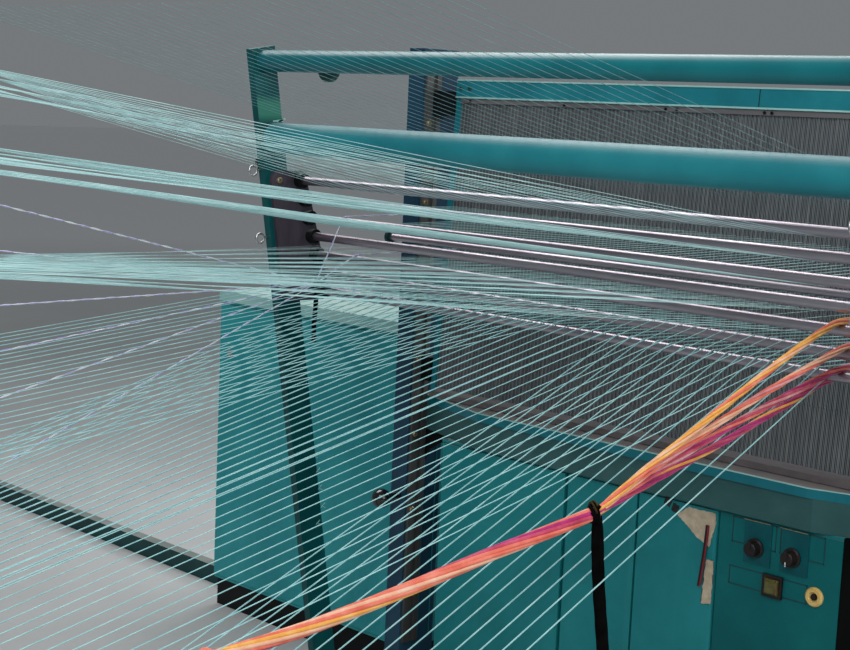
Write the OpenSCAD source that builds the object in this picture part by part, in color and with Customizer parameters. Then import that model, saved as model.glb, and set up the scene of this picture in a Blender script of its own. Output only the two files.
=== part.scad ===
// Yarn guide and reed stand of a warping machine, in millimetres.
// X runs along the rods, Y from the creel side to the drum side, Z up.
// The origin is on the floor, midway between the posts.

/* [Side arms] */
// Clear width between the two leaning arms
arm_span = 1520; // [1380:1:1900]
// Thickness of an arm
arm_t = 20; // [12:1:40]
// Width of an arm along its flat
arm_w = 67; // [50:1:90]
// Lean of an arm towards the creel, in degrees
arm_lean = 9.8; // [8:0.1:11]
// Distance of the arm's foot in front of the posts' centre
arm_foot_y = 244; // [235:1:280]
// Height of the arm's top
arm_top_z = 1605; // [1600:1:1700]
// Thickness of the base sill under arm and post
sill_t = 10; // [6:1:16]

/* [Guide tubes] */
// Outer diameter of the top tube
top_tube_d = 48.3; // [40:0.1:56]
// Height of the top tube's centre
top_tube_z = 1575; // [1550:1:1575]
// Outer diameter of the lower tube
low_tube_d = 70; // [55:1:80]
// Height of the lower tube's centre
low_tube_z = 1402; // [1395:1:1440]
// Distance of the lower tube behind the arms' centre line
low_tube_back = 6; // [0:0.5:10]
// Wall of both tubes
tube_wall = 3.2; // [2:0.1:6]
// Diameter of the black stop disc behind the top tube
disc_d = 68; // [62:1:80]

/* [Divider rods] */
// Diameter of a divider rod
rod_d = 20; // [14:1:22]
// Height of the top rod
rod_top_z = 1306; // [1295:1:1312]
// Depth of the top rod in front of the posts' centre
rod_top_y = 408; // [400:1:412]
// Step down from rod to rod
rod_step_z = 43.5; // [38:0.5:45]
// Step back from rod to rod
rod_step_y = 13.8; // [11:0.1:15]
// Outer diameter of a rod socket
socket_d = 34; // [30:1:36]
// Length of a rod socket
socket_len = 18; // [12:1:30]
// Thickness of the plate that holds the rods
rod_plate_t = 8; // [5:1:12]
// Diameter of the rear rod
rear_rod_d = 17; // [12:1:20]
// Height of the rear rod
rear_rod_z = 1168; // [1160:1:1172]
// Depth of the rear rod in front of the posts' centre
rear_rod_y = 112; // [100:1:130]

/* [Posts and beam] */
// Width of a post
post_w = 53; // [40:1:60]
// Depth of a post
post_d = 120; // [110:1:140]
// Height of a post with its cap
post_h = 1630; // [1625:1:1700]
// Wall of a post
post_wall = 4; // [3:0.5:6]
// Thickness of a post's cap
cap_t = 6; // [4:1:10]
// Front face of the beam, in front of the posts' centre
beam_front = 83; // [75:1:90]
// Depth of the beam
beam_d = 123; // [115:1:140]
// Height of the beam
beam_h = 88; // [70:1:100]
// Height of the beam's upper face
beam_top = 771; // [760:1:790]
// Height of the bright lip along the beam's upper edge
lip_h = 16; // [10:1:24]
// Half the length of the beam's front, whose ends then run back to the posts
beam_full = 452; // [400:1:500]

/* [Reed] */
// Width of the reed over its side strips
reed_w = 1336; // [1250:1:1350]
// Length of the reed along its own slope
reed_h = 788; // [760:1:790]
// Backward lean of the reed, in degrees
reed_lean = 3.6; // [2.5:0.1:4]
// Distance of the reed's foot in front of the posts' centre
reed_foot_y = 20; // [18:1:26]
// Height of the reed's top rail
reed_rail_h = 46; // [36:1:60]
// Depth of the reed's rails
reed_rail_d = 24; // [20:1:28]
// Width of a side strip
side_strip_w = 15; // [12:1:24]
// Height of a baulk
baulk_h = 11; // [8:1:16]
// Thickness of a baulk
baulk_t = 5; // [3:1:7]
// Number of gaps between the reed's wires
reed_gaps = 120; // [60:1:120]
// Thickness of a reed wire
wire_t = 1.6; // [1:0.1:2.4]
// Depth of a reed wire
wire_d = 7; // [5:0.5:10]
// Thickness of a slide rail on the post
slide_t = 8; // [6:1:12]
// Width of a slide rail
slide_w = 50; // [40:1:54]
// Width of the groove in a slide rail
groove_w = 14; // [10:1:18]
// Depth of the groove
groove_d = 5; // [4:0.5:5]
// Height of a slide rail's foot above the floor
slide_z0 = 128; // [100:1:140]
// Height of a slide rail's lowest screw above the rail's foot
screw_low = 157; // [60:1:190]
// Step from screw to screw on a slide rail
screw_step = 194; // [150:1:240]
// Distance of a slide rail's top screw below the rail's end
screw_high = 34; // [20:1:50]

/* [Cabinet] */
// Left end of the cabinet
cab_left = -582; // [-624:1:-544]
// Right end of the cabinet
cab_right = 533; // [506:1:576]
// Front face of the doors, in front of the posts' centre
cab_front = 66; // [62:1:74]
// Depth of the cabinet
cab_d = 456; // [380:1:600]
// Place of the gap between the first and the second door
gap_1 = -182; // [-214:1:-144]
// Place of the gap between the second and the third door
gap_2 = 26; // [6:1:56]
// Place of the gap between the third door and the control panel
gap_3 = 239; // [231:1:251]
// Width of the gaps between doors
door_gap = 6; // [4:1:8]
// Thickness of a door with its folded edge
door_t = 16; // [14:1:24]
// Thickness of the doors' sheet
door_skin = 3; // [2:0.5:4]
// Height of the cabinet's plinth
plinth_h = 60; // [40:1:90]
// Thickness of the cabinet's walls
case_wall = 3; // [2:0.5:5]
// Thickness of the plates that carry the doors' pivots
pivot_plate = 7; // [5:1:10]
// Diameter of a door pivot
pivot_d = 8; // [6:1:10]
// Width of a stile between two doors
stile_w = 30; // [24:1:40]
// Depth of a stile
stile_d = 20; // [12:1:30]

/* [Controls] */
// Diameter of a switch knob
knob_d = 41; // [34:1:46]
// Length of a switch knob
knob_len = 24; // [18:1:32]
// Width of the plate behind a switch knob
switch_plate_w = 65; // [60:1:68]
// Height of the plate
switch_plate_h = 91; // [70:1:91]
// Distance of the knob's axis above the plate's lower edge
switch_plate_low = 35; // [30:1:40]
// Thickness of the plate
switch_plate_t = 2; // [1.5:0.5:4]
// Place of the left switch along X
switch_1_x = 334; // [326:1:338]
// Place of the right switch along X
switch_2_x = 422; // [416:1:431]
// Height of the switches
switch_z = 618; // [600:1:625]
// Place of the push button along X
button_x = 381; // [376:1:386]
// Height of the push button
button_z = 548; // [535:1:555]
// Side of the button's black frame
button_frame = 47; // [42:1:52]
// Side of the push button
button_side = 33; // [26:1:36]
// Place of the ring socket along X
ring_x = 479; // [471:1:491]
// Height of the ring socket
ring_z = 550; // [535:1:560]
// Outer diameter of the ring socket
ring_d = 40; // [34:1:44]

/* [Side box and floor rail] */
// Length of the side box
box_w = 811; // [700:1:900]
// Front face of the side box, behind the posts' centre
box_front = 9; // [4:1:20]
// Depth of the side box
box_d = 410; // [300:1:500]
// Height of the side box
box_h = 938; // [880:1:1000]
// Height of the side box's plinth
box_plinth_h = 83; // [60:1:110]
// Height of the side box's lid
lid_h = 30; // [20:1:44]
// Width of the fixed stile beside the box's door
box_stile = 40; // [38:1:60]
// Distance of the box's latch from the door's free edge
latch_inset = 52; // [40:1:70]
// Distance of the latch below the lid
latch_drop = 148; // [100:1:200]
// Diameter of the latch's barrel
latch_d = 16; // [12:1:20]
// Length of the floor rail
floor_rail_len = 1600; // [800:1:1800]
// Width of the floor rail
floor_rail_w = 40; // [30:1:60]
// Height of the floor rail
floor_rail_h = 56; // [40:1:70]
// Distance of the floor rail behind the posts' centre
floor_rail_y = 131; // [100:1:200]

/* [Knobs and guides] */
// Diameter of the ball knob on the left post
ball_d = 50; // [40:1:56]
// Height of the ball knob
ball_z = 510; // [480:1:540]
// Distance of the ball's centre in front of the post
ball_reach = 59; // [50:1:70]
// Diameter of the ball knob's stem
stem_d = 14; // [10:1:18]
// Diameter of an arm's clamp knob
clamp_d = 48; // [40:1:56]
// Height of the clamp knobs
clamp_z = 1346; // [1340:1:1350]
// Diameter of a clamp knob's stud
clamp_stud_d = 12; // [8:1:16]
// Diameter of the yarn guides' wire
guide_wire = 5; // [4:0.5:7]
// Height of the lower yarn guides
low_eye_z = 1175; // [1150:1:1190]
// Height of the upper yarn guides
high_eye_z = 1330; // [1320:1:1334]

/* [Warp] */
// Thickness of a warp thread
thread_t = 1; // [0.6:0.1:2]
// Reed gaps from one thread to the next
thread_every = 4; // [2:1:8]

/* [Hidden] */
$fn = 48;

// Radial clearance of a running fit
fit = 0.05;
// Clearance that keeps curved faces apart
clear = 0.3;
teal = "#1c7274";
dark_teal = "#0d4a4d";
navy = "#16293a";
steel = "#8f8a97";
black = "#15171a";

half_span = arm_span / 2;
post_in = half_span - post_w;
arm_slope = tan(arm_lean);
rod_count = 7;
beam_bottom = beam_top - beam_h;
cab_top = beam_bottom;
cab_back = cab_d - cab_front;
door_z0 = plinth_h + pivot_plate + 2;
door_z1 = cab_top - pivot_plate - 2;
box_left = -half_span - box_w;
box_top = box_h - lid_h;
box_door_right = -half_span - box_stile;

// Place of the arm's centre line, and of a rod, at a height
function arm_y(z) = -arm_foot_y - arm_slope * z;
function rod_y(k) = -rod_top_y + rod_step_y * (k - 1);
function rod_z(k) = rod_top_z - rod_step_z * (k - 1);

// A plate whose outline is drawn in Y and Z, from x0 on
module side_plate(x0, t) {
    translate([x0, 0, 0]) rotate([90, 0, 90]) linear_extrude(t) children();
}

// A cylinder along X
module along_x(x0, len, d) {
    translate([x0, 0, 0]) rotate([0, 90, 0]) cylinder(h = len, d = d);
}

// A cylinder along Y
module along_y(y0, len, d) {
    translate([0, y0, 0]) rotate([-90, 0, 0]) cylinder(h = len, d = d);
}

// The same on both sides of the machine
module both_sides() {
    children();
    mirror([1, 0, 0]) children();
}

// Side arms
module arm_outline() {
    half = arm_w / 2 / cos(arm_lean);
    cut = arm_w / 2 * sin(arm_lean);
    polygon([
        [arm_y(sill_t) - half, sill_t], [arm_y(sill_t) + half, sill_t],
        [arm_y(arm_top_z) + arm_w / 2 * cos(arm_lean), arm_top_z + cut],
        [arm_y(arm_top_z) - arm_w / 2 * cos(arm_lean), arm_top_z - cut]
    ]);
}

module side_arm() {
    foot_len = 2 * arm_w + 3;
    foot_t = 12;
    difference() {
        union() {
            side_plate(-half_span - arm_t, arm_t) arm_outline();
            translate([-half_span - arm_t, arm_y(0) - foot_len / 2, sill_t])
                cube([arm_t, foot_len, foot_t]);
        }
        translate([0, arm_y(clamp_z), clamp_z])
            along_x(-half_span - arm_t - 1, arm_t + 2, clamp_stud_d + 2 * fit);
    }
}

module left_side_arm() {
    color(teal) side_arm();
}

module right_side_arm() {
    color(teal) mirror([1, 0, 0]) side_arm();
}

module base_sills() {
    toe = 10;
    margin = 4;
    sill_front = arm_y(0) - arm_w - toe;
    color(dark_teal) both_sides()
        translate([-half_span - arm_t - margin, sill_front, 0])
            cube([arm_t + margin + post_w, -post_d / 2 - sill_front, sill_t]);
}

// Guide tubes
low_tube_y = arm_y(low_tube_z) + low_tube_back;

module guide_tube(y, z, d) {
    translate([0, y, z]) difference() {
        along_x(-half_span, arm_span, d);
        along_x(-half_span - 1, arm_span + 2, d - 2 * tube_wall);
    }
}

module top_guide_tube() {
    color(teal) guide_tube(arm_y(top_tube_z), top_tube_z, top_tube_d);
}

module lower_guide_tube() {
    color(teal) guide_tube(low_tube_y, low_tube_z, low_tube_d);
}

// A black stop disc behind the top tube, its boss against the tube's back
module stop_disc() {
    disc_x = -581;
    drop = 9;
    boss = 12;
    back = sqrt(pow(top_tube_d / 2, 2) - pow(drop + boss / 2, 2));
    front_bevel = 3;
    back_bevel = 5;
    near = top_tube_d / 2 + 5;
    far = near + 18;
    color(black) translate([disc_x, arm_y(top_tube_z), top_tube_z - drop]) rotate([-90, 0, 0])
        difference() {
            rotate_extrude() polygon([
                [0, back], [boss / 2, back], [boss / 2, near],
                [disc_d / 2 - front_bevel, near], [disc_d / 2, near + front_bevel],
                [disc_d / 2, far - back_bevel], [disc_d / 2 - back_bevel, far], [0, far]
            ]);
            translate([-boss, -drop, 0]) rotate([0, 90, 0]) cylinder(h = 2 * boss, d = top_tube_d);
        }
}

// Rod plates, sockets and rods
module rod_plate() {
    edge = socket_d / 2 + 5;
    side_plate(-half_span, rod_plate_t) hull() for (k = [1, rod_count]) {
        translate([rod_y(k), rod_z(k)]) circle(r = edge);
        translate([arm_y(rod_z(k)), rod_z(k)]) circle(r = edge);
    }
}

module left_rod_plate() {
    color(steel) rod_plate();
}

module right_rod_plate() {
    color(steel) mirror([1, 0, 0]) rod_plate();
}

module rod_sockets() {
    wall_x = -half_span + rod_plate_t;
    color(black) both_sides() for (k = [1 : rod_count])
        translate([0, rod_y(k), rod_z(k)]) difference() {
            along_x(wall_x, socket_len, socket_d);
            along_x(wall_x + 3, socket_len, rod_d);
        }
}

module divider_rod(k) {
    end = half_span - rod_plate_t - 3;
    color(steel) translate([0, rod_y(k), rod_z(k)]) along_x(-end, 2 * end, rod_d);
}

module rear_rod() {
    color(steel) translate([0, -rear_rod_y, rear_rod_z])
        along_x(-half_span, arm_span, rear_rod_d);
}

module rear_rod_brackets() {
    bracket_t = 8;
    inset = 8;
    arm_h = 24;
    eye_wall = 8;
    color(dark_teal) both_sides() side_plate(-half_span + inset, bracket_t) difference() {
        union() {
            translate([-rear_rod_y, rear_rod_z]) circle(d = rear_rod_d + 2 * eye_wall);
            translate([-rear_rod_y, rear_rod_z - arm_h / 2])
                square([rear_rod_y - post_d / 2, arm_h]);
        }
        translate([-rear_rod_y, rear_rod_z]) circle(d = rear_rod_d);
    }
}

// Posts
module post() {
    inner = post_w - 2 * post_wall;
    difference() {
        translate([-half_span, -post_d / 2, 0]) cube([post_w, post_d, post_h - cap_t]);
        translate([-half_span + post_wall, -post_d / 2 + post_wall, -1])
            cube([inner, post_d - 2 * post_wall, post_h + 2]);
    }
}

module left_post() {
    color(navy) difference() {
        post();
        translate([-half_span + post_w / 2, 0, ball_z])
            along_y(-post_d / 2 - 1, post_wall + 2, stem_d + 2 * fit);
    }
}

module right_post() {
    color(navy) mirror([1, 0, 0]) post();
}

module post_caps() {
    color(black) both_sides()
        translate([-half_span, -post_d / 2, post_h - cap_t]) cube([post_w, post_d, cap_t]);
}

// Slide rails that guide the reed on the posts' inner faces
slide_y = -post_d / 2 + 5;
groove_y = slide_y + slide_w / 2 + 4;
slide_top = post_h - cap_t - 10;

module slide_rail() {
    slide_len = slide_top - slide_z0;
    difference() {
        translate([-post_in, slide_y, slide_z0]) cube([slide_t, slide_w, slide_len]);
        translate([-post_in + slide_t - groove_d, groove_y - groove_w / 2, slide_z0 - 1])
            cube([groove_d + 1, groove_w, slide_len + 2]);
    }
}

module left_slide_rail() {
    color("#6e7073") slide_rail();
}

module right_slide_rail() {
    color("#6e7073") mirror([1, 0, 0]) slide_rail();
}

// The reed, drawn upright and then leaned back about its foot
reed_in = reed_w / 2 - side_strip_w;
gap_pitch = 2 * reed_in / reed_gaps;
bottom_rail_h = 14;
comb_z0 = bottom_rail_h;
comb_z1 = reed_h - reed_rail_h;

module leaned() {
    translate([0, -reed_foot_y, beam_top + 1]) rotate([-reed_lean, 0, 0]) children();
}

module reed_top_rail() {
    rail_wall = 3;
    color(teal) leaned() difference() {
        translate([-reed_w / 2, -reed_rail_d / 2, comb_z1])
            cube([reed_w, reed_rail_d, reed_rail_h]);
        translate([-reed_w / 2 + rail_wall, -reed_rail_d / 2 + rail_wall, comb_z1 + rail_wall])
            cube([reed_w - 2 * rail_wall, reed_rail_d, reed_rail_h - 2 * rail_wall]);
    }
}

module reed_bottom_rail() {
    color(dark_teal) leaned() translate([-reed_w / 2, -reed_rail_d / 2, 0])
        cube([reed_w, reed_rail_d, bottom_rail_h]);
}

module reed_side_strips() {
    strip_d = wire_d + 2 * baulk_t;
    color(teal) leaned() both_sides() translate([-reed_w / 2, -strip_d / 2, comb_z0])
        cube([side_strip_w, strip_d, comb_z1 - comb_z0]);
}

module reed_baulks() {
    color("#9a93a6") leaned() for (z = [comb_z0, comb_z1 - baulk_h], side = [0, 1])
        mirror([0, side, 0]) translate([-reed_in, wire_d / 2, z])
            cube([2 * reed_in, baulk_t, baulk_h]);
}

module reed_wires() {
    gap = gap_pitch - wire_t;
    comb_h = comb_z1 - comb_z0;
    color("#8d9398") leaned() translate([0, wire_d / 2, 0]) rotate([90, 0, 0])
        linear_extrude(wire_d) difference() {
            translate([-reed_in, comb_z0]) square([2 * reed_in, comb_h]);
            for (i = [0 : reed_gaps - 1])
                translate([gap_x(i) - gap / 2, comb_z0 + baulk_h])
                    square([gap, comb_h - 2 * baulk_h]);
        }
}

// Shoes that join the reed's sides to the grooves
module reed_shoes() {
    shoe_h = 60;
    near_end = 40;
    run = 0.5;
    grip = 8;
    tongue = groove_w - 2 * fit;
    tongue_x = -post_in + slide_t - groove_d + run;
    block_x = -post_in + slide_t + run;
    block_w = post_in - slide_t - run - reed_w / 2;
    low_z = beam_top + near_end;
    high_z = beam_top + reed_h - near_end - shoe_h + 10;
    color(black) both_sides() for (z = [low_z, high_z]) {
        lean_y = -reed_foot_y + (z + shoe_h / 2 - beam_top) * tan(reed_lean);
        block_y = min(groove_y - tongue / 2, lean_y - grip);
        translate([block_x, block_y, z])
            cube([block_w, max(groove_y + tongue / 2, lean_y + grip) - block_y, shoe_h]);
        translate([tongue_x, groove_y - tongue / 2, z])
            cube([block_x - tongue_x, tongue, shoe_h]);
    }
}

// Beam under the reed, its ends cut back so that they clear the slide rails
beam_end_y = -2.5;
beam_cut = (beam_front + beam_end_y) / (post_in - beam_full);

// What is cut from the beam's ends, moved back by a wall
module beam_corners(wall) {
    shift = wall * sqrt(1 + pow(beam_cut, 2));
    both_sides() translate([0, 0, beam_bottom - 1]) linear_extrude(beam_h + 2) polygon([
        [-post_in - 2, -beam_front - 1],
        [-beam_full + (shift + 1) / beam_cut, -beam_front - 1],
        [-post_in - 2, beam_end_y + shift + 2 * beam_cut]
    ]);
}

module cross_beam() {
    wall = 4;
    lip_out = 4;
    color(teal) difference() {
        side_plate(-post_in, 2 * post_in) union() {
            translate([-beam_front + lip_out, beam_bottom]) square([beam_d - lip_out, beam_h]);
            translate([-beam_front, beam_top - lip_h]) square([beam_d, lip_h]);
        }
        beam_corners(0);
        difference() {
            side_plate(-post_in - 1, 2 * post_in + 2)
                translate([-beam_front + lip_out + wall, beam_bottom + wall])
                    square([beam_d - lip_out - 2 * wall, beam_h - 2 * wall]);
            beam_corners(wall);
        }
    }
}

module beam_gussets() {
    gusset_t = 6;
    run = min(post_in + cab_left, post_in - cab_right) - 5;
    drop = 84;
    color(black) both_sides() translate([-post_in, beam_end_y + gusset_t + 1, 0])
        rotate([90, 0, 0]) linear_extrude(gusset_t) polygon([
            [0, beam_bottom], [run, beam_bottom], [run / 2, beam_bottom - drop / 3],
            [run / 6, beam_bottom - drop / 1.6], [0, beam_bottom - drop]
        ]);
}

// A sheet-metal case, open in front, whose top and bottom plates carry the doors' pivots
module case(x0, x1, front, back, z0, z1, stiles, pivots) {
    inside_y = front + door_t + 1;
    difference() {
        union() {
            difference() {
                translate([x0, inside_y, z0]) cube([x1 - x0, back - inside_y, z1 - z0]);
                translate([x0 + case_wall, inside_y - 1, z0 + pivot_plate])
                    cube([x1 - x0 - 2 * case_wall, back - inside_y + 1 - case_wall,
                          z1 - z0 - 2 * pivot_plate]);
            }
            for (z = [z0, z1 - pivot_plate]) translate([x0, front + 2, z])
                cube([x1 - x0, back - front - 2, pivot_plate]);
            for (s = stiles) translate([s[0], inside_y, z0])
                cube([s[1] - s[0], stile_d, z1 - z0]);
        }
        for (x = pivots) translate([x, front + door_t / 2, z0 - 1])
            cylinder(h = z1 - z0 + 2, d = pivot_d + 2 * fit);
    }
}

// A folded door between xa, its pivot edge, and xb, with a round pivot edge
module door(xa, xb, front, z0, z1) {
    r = door_t / 2;
    way = sign(xb - xa);
    pivot_x = xa + way * r;
    x_lo = min(pivot_x, xb);
    width = abs(xb - pivot_x);
    fold = 3;
    difference() {
        union() {
            translate([pivot_x, front + r, z0]) cylinder(h = z1 - z0, r = r);
            translate([x_lo, front, z0]) cube([width, door_t, z1 - z0]);
        }
        translate([way > 0 ? pivot_x + r : x_lo + fold, front + door_skin, z0 + fold])
            cube([width - r - fold, door_t, z1 - z0 - 2 * fold]);
    }
    for (z = [z0 - 2 - pivot_plate / 2, z1]) translate([pivot_x, front + r, z])
        cylinder(h = 2 + pivot_plate / 2, d = pivot_d);
}

// Cabinet under the beam
module cabinet_case() {
    r = door_t / 2;
    color(teal) case(cab_left, cab_right, -cab_front, cab_back, plinth_h, cab_top,
        [[cab_left, cab_left + stile_w], [gap_1 - stile_w / 2, gap_1 + stile_w / 2],
         [gap_2 - stile_w / 2, gap_2 + stile_w / 2], [gap_3 - stile_w / 2, gap_3 + stile_w / 2],
         [cab_right - stile_w, cab_right]],
        [cab_left + r, gap_1 + door_gap / 2 + r, gap_3 - door_gap / 2 - r]);
}

module plinth(x0, x1, y0, y1, h) {
    wall = 4;
    difference() {
        translate([x0, y0, 0]) cube([x1 - x0, y1 - y0, h]);
        translate([x0 + wall, y0 + wall, wall])
            cube([x1 - x0 - 2 * wall, y1 - y0 - 2 * wall, h]);
    }
}

module cabinet_plinth() {
    color(black) plinth(cab_left + 10, cab_right - 10, -cab_front + 25, cab_back, plinth_h);
}

module left_door() {
    color(teal) door(cab_left, gap_1 - door_gap / 2, -cab_front, door_z0, door_z1);
}

module centre_door() {
    color(teal) door(gap_1 + door_gap / 2, gap_2 - door_gap / 2, -cab_front, door_z0, door_z1);
}

module right_door() {
    color(teal) door(gap_3 - door_gap / 2, gap_2 + door_gap / 2, -cab_front, door_z0, door_z1);
}

// Control panel and what is on it
shaft_d = 10;

module control_panel() {
    x0 = gap_3 + door_gap / 2;
    fold = 3;
    color(dark_teal) difference() {
        translate([x0, -cab_front, door_z0 - 2])
            cube([cab_right - x0, door_t + 1, door_z1 - door_z0 + 4]);
        translate([x0 + fold, -cab_front + door_skin, door_z0 + fold])
            cube([cab_right - x0 - 2 * fold, door_t + 1, door_z1 - door_z0 - 2 * fold]);
        for (x = [switch_1_x, switch_2_x]) translate([x, 0, switch_z])
            along_y(-cab_front - 1, door_skin + 2, shaft_d + 2 * fit);
        translate([button_x - button_side / 2 - clear, -cab_front - 1,
                   button_z - button_side / 2 - clear])
            cube([button_side + 2 * clear, door_skin + 2, button_side + 2 * clear]);
        translate([ring_x, 0, ring_z]) along_y(-cab_front - 1, door_skin + 2, ring_d * 0.7);
    }
}

module switch_plates() {
    knob_margin = 4;
    color("#3f6f86") for (x = [switch_1_x, switch_2_x])
        translate([x, -cab_front - switch_plate_t, switch_z]) difference() {
            translate([knob_margin - switch_plate_w / 2, 0, -switch_plate_low])
                cube([switch_plate_w, switch_plate_t, switch_plate_h]);
            along_y(-1, switch_plate_t + 2, shaft_d + 2 * fit);
        }
}

// A turned knob with a pointer rib and a shaft, along Y, its back at y = 0
module switch_knob() {
    rotate([90, 0, 0]) {
        rotate_extrude() polygon([
            [0, 0], [knob_d / 2 - 1, 0], [knob_d / 2, 1], [knob_d / 2, 4],
            [knob_d / 2 - 4, 6], [knob_d / 2 - 6, knob_len - 2], [knob_d / 2 - 8, knob_len], [0, knob_len]
        ]);
        translate([-3, 0, 0]) cube([6, knob_d / 2 - 3, knob_len + 1]);
    }
    along_y(0, switch_plate_t + door_skin + 8, shaft_d);
}

module left_switch_knob() {
    color(black) translate([switch_1_x, -cab_front - switch_plate_t - clear, switch_z])
        switch_knob();
}

module right_switch_knob() {
    color(black) translate([switch_2_x, -cab_front - switch_plate_t - clear, switch_z])
        switch_knob();
}

module button_bezel() {
    bezel_t = 6;
    color(black) translate([button_x, -cab_front, button_z]) rotate([90, 0, 0])
        linear_extrude(bezel_t) difference() {
            square(button_frame, center = true);
            square(button_side + 2 * clear, center = true);
        }
}

module push_button() {
    stand = 9;
    stem = 12;
    color("#8c7a3a") translate([button_x, -cab_front - stand, button_z])
        translate([-button_side / 2, 0, -button_side / 2])
            cube([button_side, stand + stem, button_side]);
}

module ring_socket() {
    r = ring_d / 2;
    color("#d8c58c") translate([ring_x, -cab_front, ring_z]) rotate([90, 0, 0])
        rotate_extrude() polygon([
            [0, -10], [r * 0.7 - 0.5, -10], [r * 0.7 - 0.5, 0], [r, 0], [r, 4], [r - 3, 7],
            [r * 0.55, 7], [r * 0.42, 3], [0, 3]
        ]);
}

// Side box
module box_case() {
    r = door_t / 2;
    color(teal) case(box_left, -half_span, box_front, box_front + box_d, box_plinth_h, box_top,
        [[box_left, box_left + stile_w], [box_door_right, -half_span]],
        [box_door_right - r]);
    color(teal) translate([box_door_right + 1, box_front + 2, box_plinth_h])
        cube([box_stile - 1, door_t, box_top - box_plinth_h]);
}

module box_lid() {
    over = 4;
    color("#8fc6c9") translate([box_left - over, box_front - over, box_top])
        cube([box_w + over, box_d + over, lid_h]);
}

module box_plinth() {
    color(black) plinth(box_left + 4, -half_span, box_front + 12, box_front + box_d,
        box_plinth_h);
}

latch_x = box_left + latch_inset;
latch_z = box_top - latch_drop;

module box_door() {
    z0 = box_plinth_h + pivot_plate + 2;
    z1 = box_top - pivot_plate - 2;
    color(teal) difference() {
        door(box_door_right, box_left, box_front, z0, z1);
        translate([latch_x, 0, latch_z]) along_y(box_front - 1, door_skin + 2, latch_d + 2 * fit);
    }
}

// A quarter-turn latch whose cam swings behind the case's stile
module box_latch() {
    cam_t = 3;
    cam_y = door_t + 1 + stile_d + 1;
    color(steel) translate([latch_x, box_front, latch_z]) {
        along_y(-5, 4.9, 24);
        along_y(-1, cam_y + 1, latch_d);
        translate([-9, cam_y, -9]) cube([18, cam_t, 49]);
    }
}

module floor_rail() {
    x1 = box_left + 4;
    top_t = 6;
    color(dark_teal) side_plate(x1 - floor_rail_len, floor_rail_len)
        translate([floor_rail_y, 0]) difference() {
            square([floor_rail_w, floor_rail_h]);
            translate([4, -1]) square([floor_rail_w - 8, floor_rail_h - top_t + 1]);
        }
}

// Ball knob on the left post
module ball_knob() {
    color(black) translate([-half_span + post_w / 2, -post_d / 2, ball_z]) rotate([90, 0, 0])
        rotate_extrude() union() {
            translate([0, ball_reach]) intersection() {
                circle(d = ball_d);
                translate([0, -ball_d]) square([ball_d, 2 * ball_d]);
            }
            translate([0, -12]) square([stem_d / 2, ball_reach]);
            translate([0, clear]) square([stem_d / 2 + 5, 6]);
        }
}

// Clamp knob: a lobed head on a stud that turns in the arm
module clamp_knob() {
    lobes = 6;
    head = 22;
    translate([-half_span - arm_t - clear, arm_y(clamp_z), clamp_z]) rotate([0, -90, 0]) {
        linear_extrude(head) difference() {
            circle(d = clamp_d);
            for (i = [0 : lobes - 1]) rotate(i * 360 / lobes)
                translate([clamp_d / 2 + 4, 0]) circle(d = 16);
        }
        translate([0, 0, -arm_t]) cylinder(h = arm_t + 1, d = clamp_stud_d);
    }
}

module left_clamp_knob() {
    color(black) clamp_knob();
}

module right_clamp_knob() {
    color(black) mirror([1, 0, 0]) clamp_knob();
}

// Open wire eyes on the arms' front edges
module yarn_guides() {
    eye_r = 11;
    neck = 14;
    color("#b9bcc0") both_sides() for (z = [low_eye_z, high_eye_z])
        translate([-half_span - arm_t / 2, arm_y(z) - arm_w / 2 / cos(arm_lean), z])
        rotate([arm_lean, 0, 0]) {
            along_y(-neck, neck, guide_wire);
            translate([0, -neck - eye_r, 0]) rotate([0, 90, 0])
                rotate_extrude(angle = 330) translate([eye_r, 0]) circle(d = guide_wire, $fn = 24);
        }
}

// A hexagon screw head on the face at x0
module screw_head(x0) {
    translate([x0, 0, 0]) rotate([0, 90, 0]) cylinder(h = 6, d = 14, $fn = 6);
}

module frame_screws() {
    screw_y = slide_y + 9;
    last_step = slide_top - screw_high - screw_step / 2;
    color("#5b5f63") {
        both_sides() for (z = [slide_z0 + screw_low : screw_step : last_step])
            translate([0, screw_y, z]) screw_head(-post_in + slide_t);
        both_sides() translate([0, screw_y, slide_top - screw_high])
            screw_head(-post_in + slide_t);
        both_sides() for (k = [1, rod_count])
            translate([0, arm_y(rod_z(k)), rod_z(k)]) screw_head(-half_span + rod_plate_t);
    }
}

// Warp threads: bent strips that pass the rods and the reed
thread_last = floor((reed_gaps - 3) / thread_every);
first_gap = floor((reed_gaps - thread_every * thread_last) / 2);
warp_end_y = 70;

// Place along X of the middle of a reed gap, and of a thread
function gap_x(i) = -reed_in + gap_pitch * (i + 0.5);
function thread_x(i) = gap_x(first_gap + thread_every * i);

// How far a thread reaches to the creel, growing with x
function creel_y(x) = -1637 - 0.573 * x;

// Heights of each sheet's creel guides: the left wing's first and last, then the right wing's
creel_guides = [
    [1504, 1499, 1498, 1495], [1364, 1396, 1397, 1419], [1330, 1371, 1373, 1401],
    [1168, 1243, 1248, 1300], [1157, 1224, 1217, 1266], [1014, 959, 808, 764], [800, 769, 496, 318]
];
wing_split = 122;

function share(x, x0, x1, pair) = pair[0] + (pair[1] - pair[0]) * (x - x0) / (x1 - x0);
function creel_z(k, x) = let (z = creel_guides[k - 1]) x < wing_split
    ? share(x, thread_x(0), wing_split, [z[0], z[1]])
    : share(x, wing_split, thread_x(thread_last), [z[2], z[3]]);

// Sheets 1 to 5 rise to the creel and run under their rods, the others fall and run over theirs.
// From sheet 4 on they pass below the rear rod.
under_count = 5;
rear_drop = 26;
function drum_z(k) = 1178 + 0.8 * (rod_z(k) - 1175) - (k > 3 ? rear_drop : 0);

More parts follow.
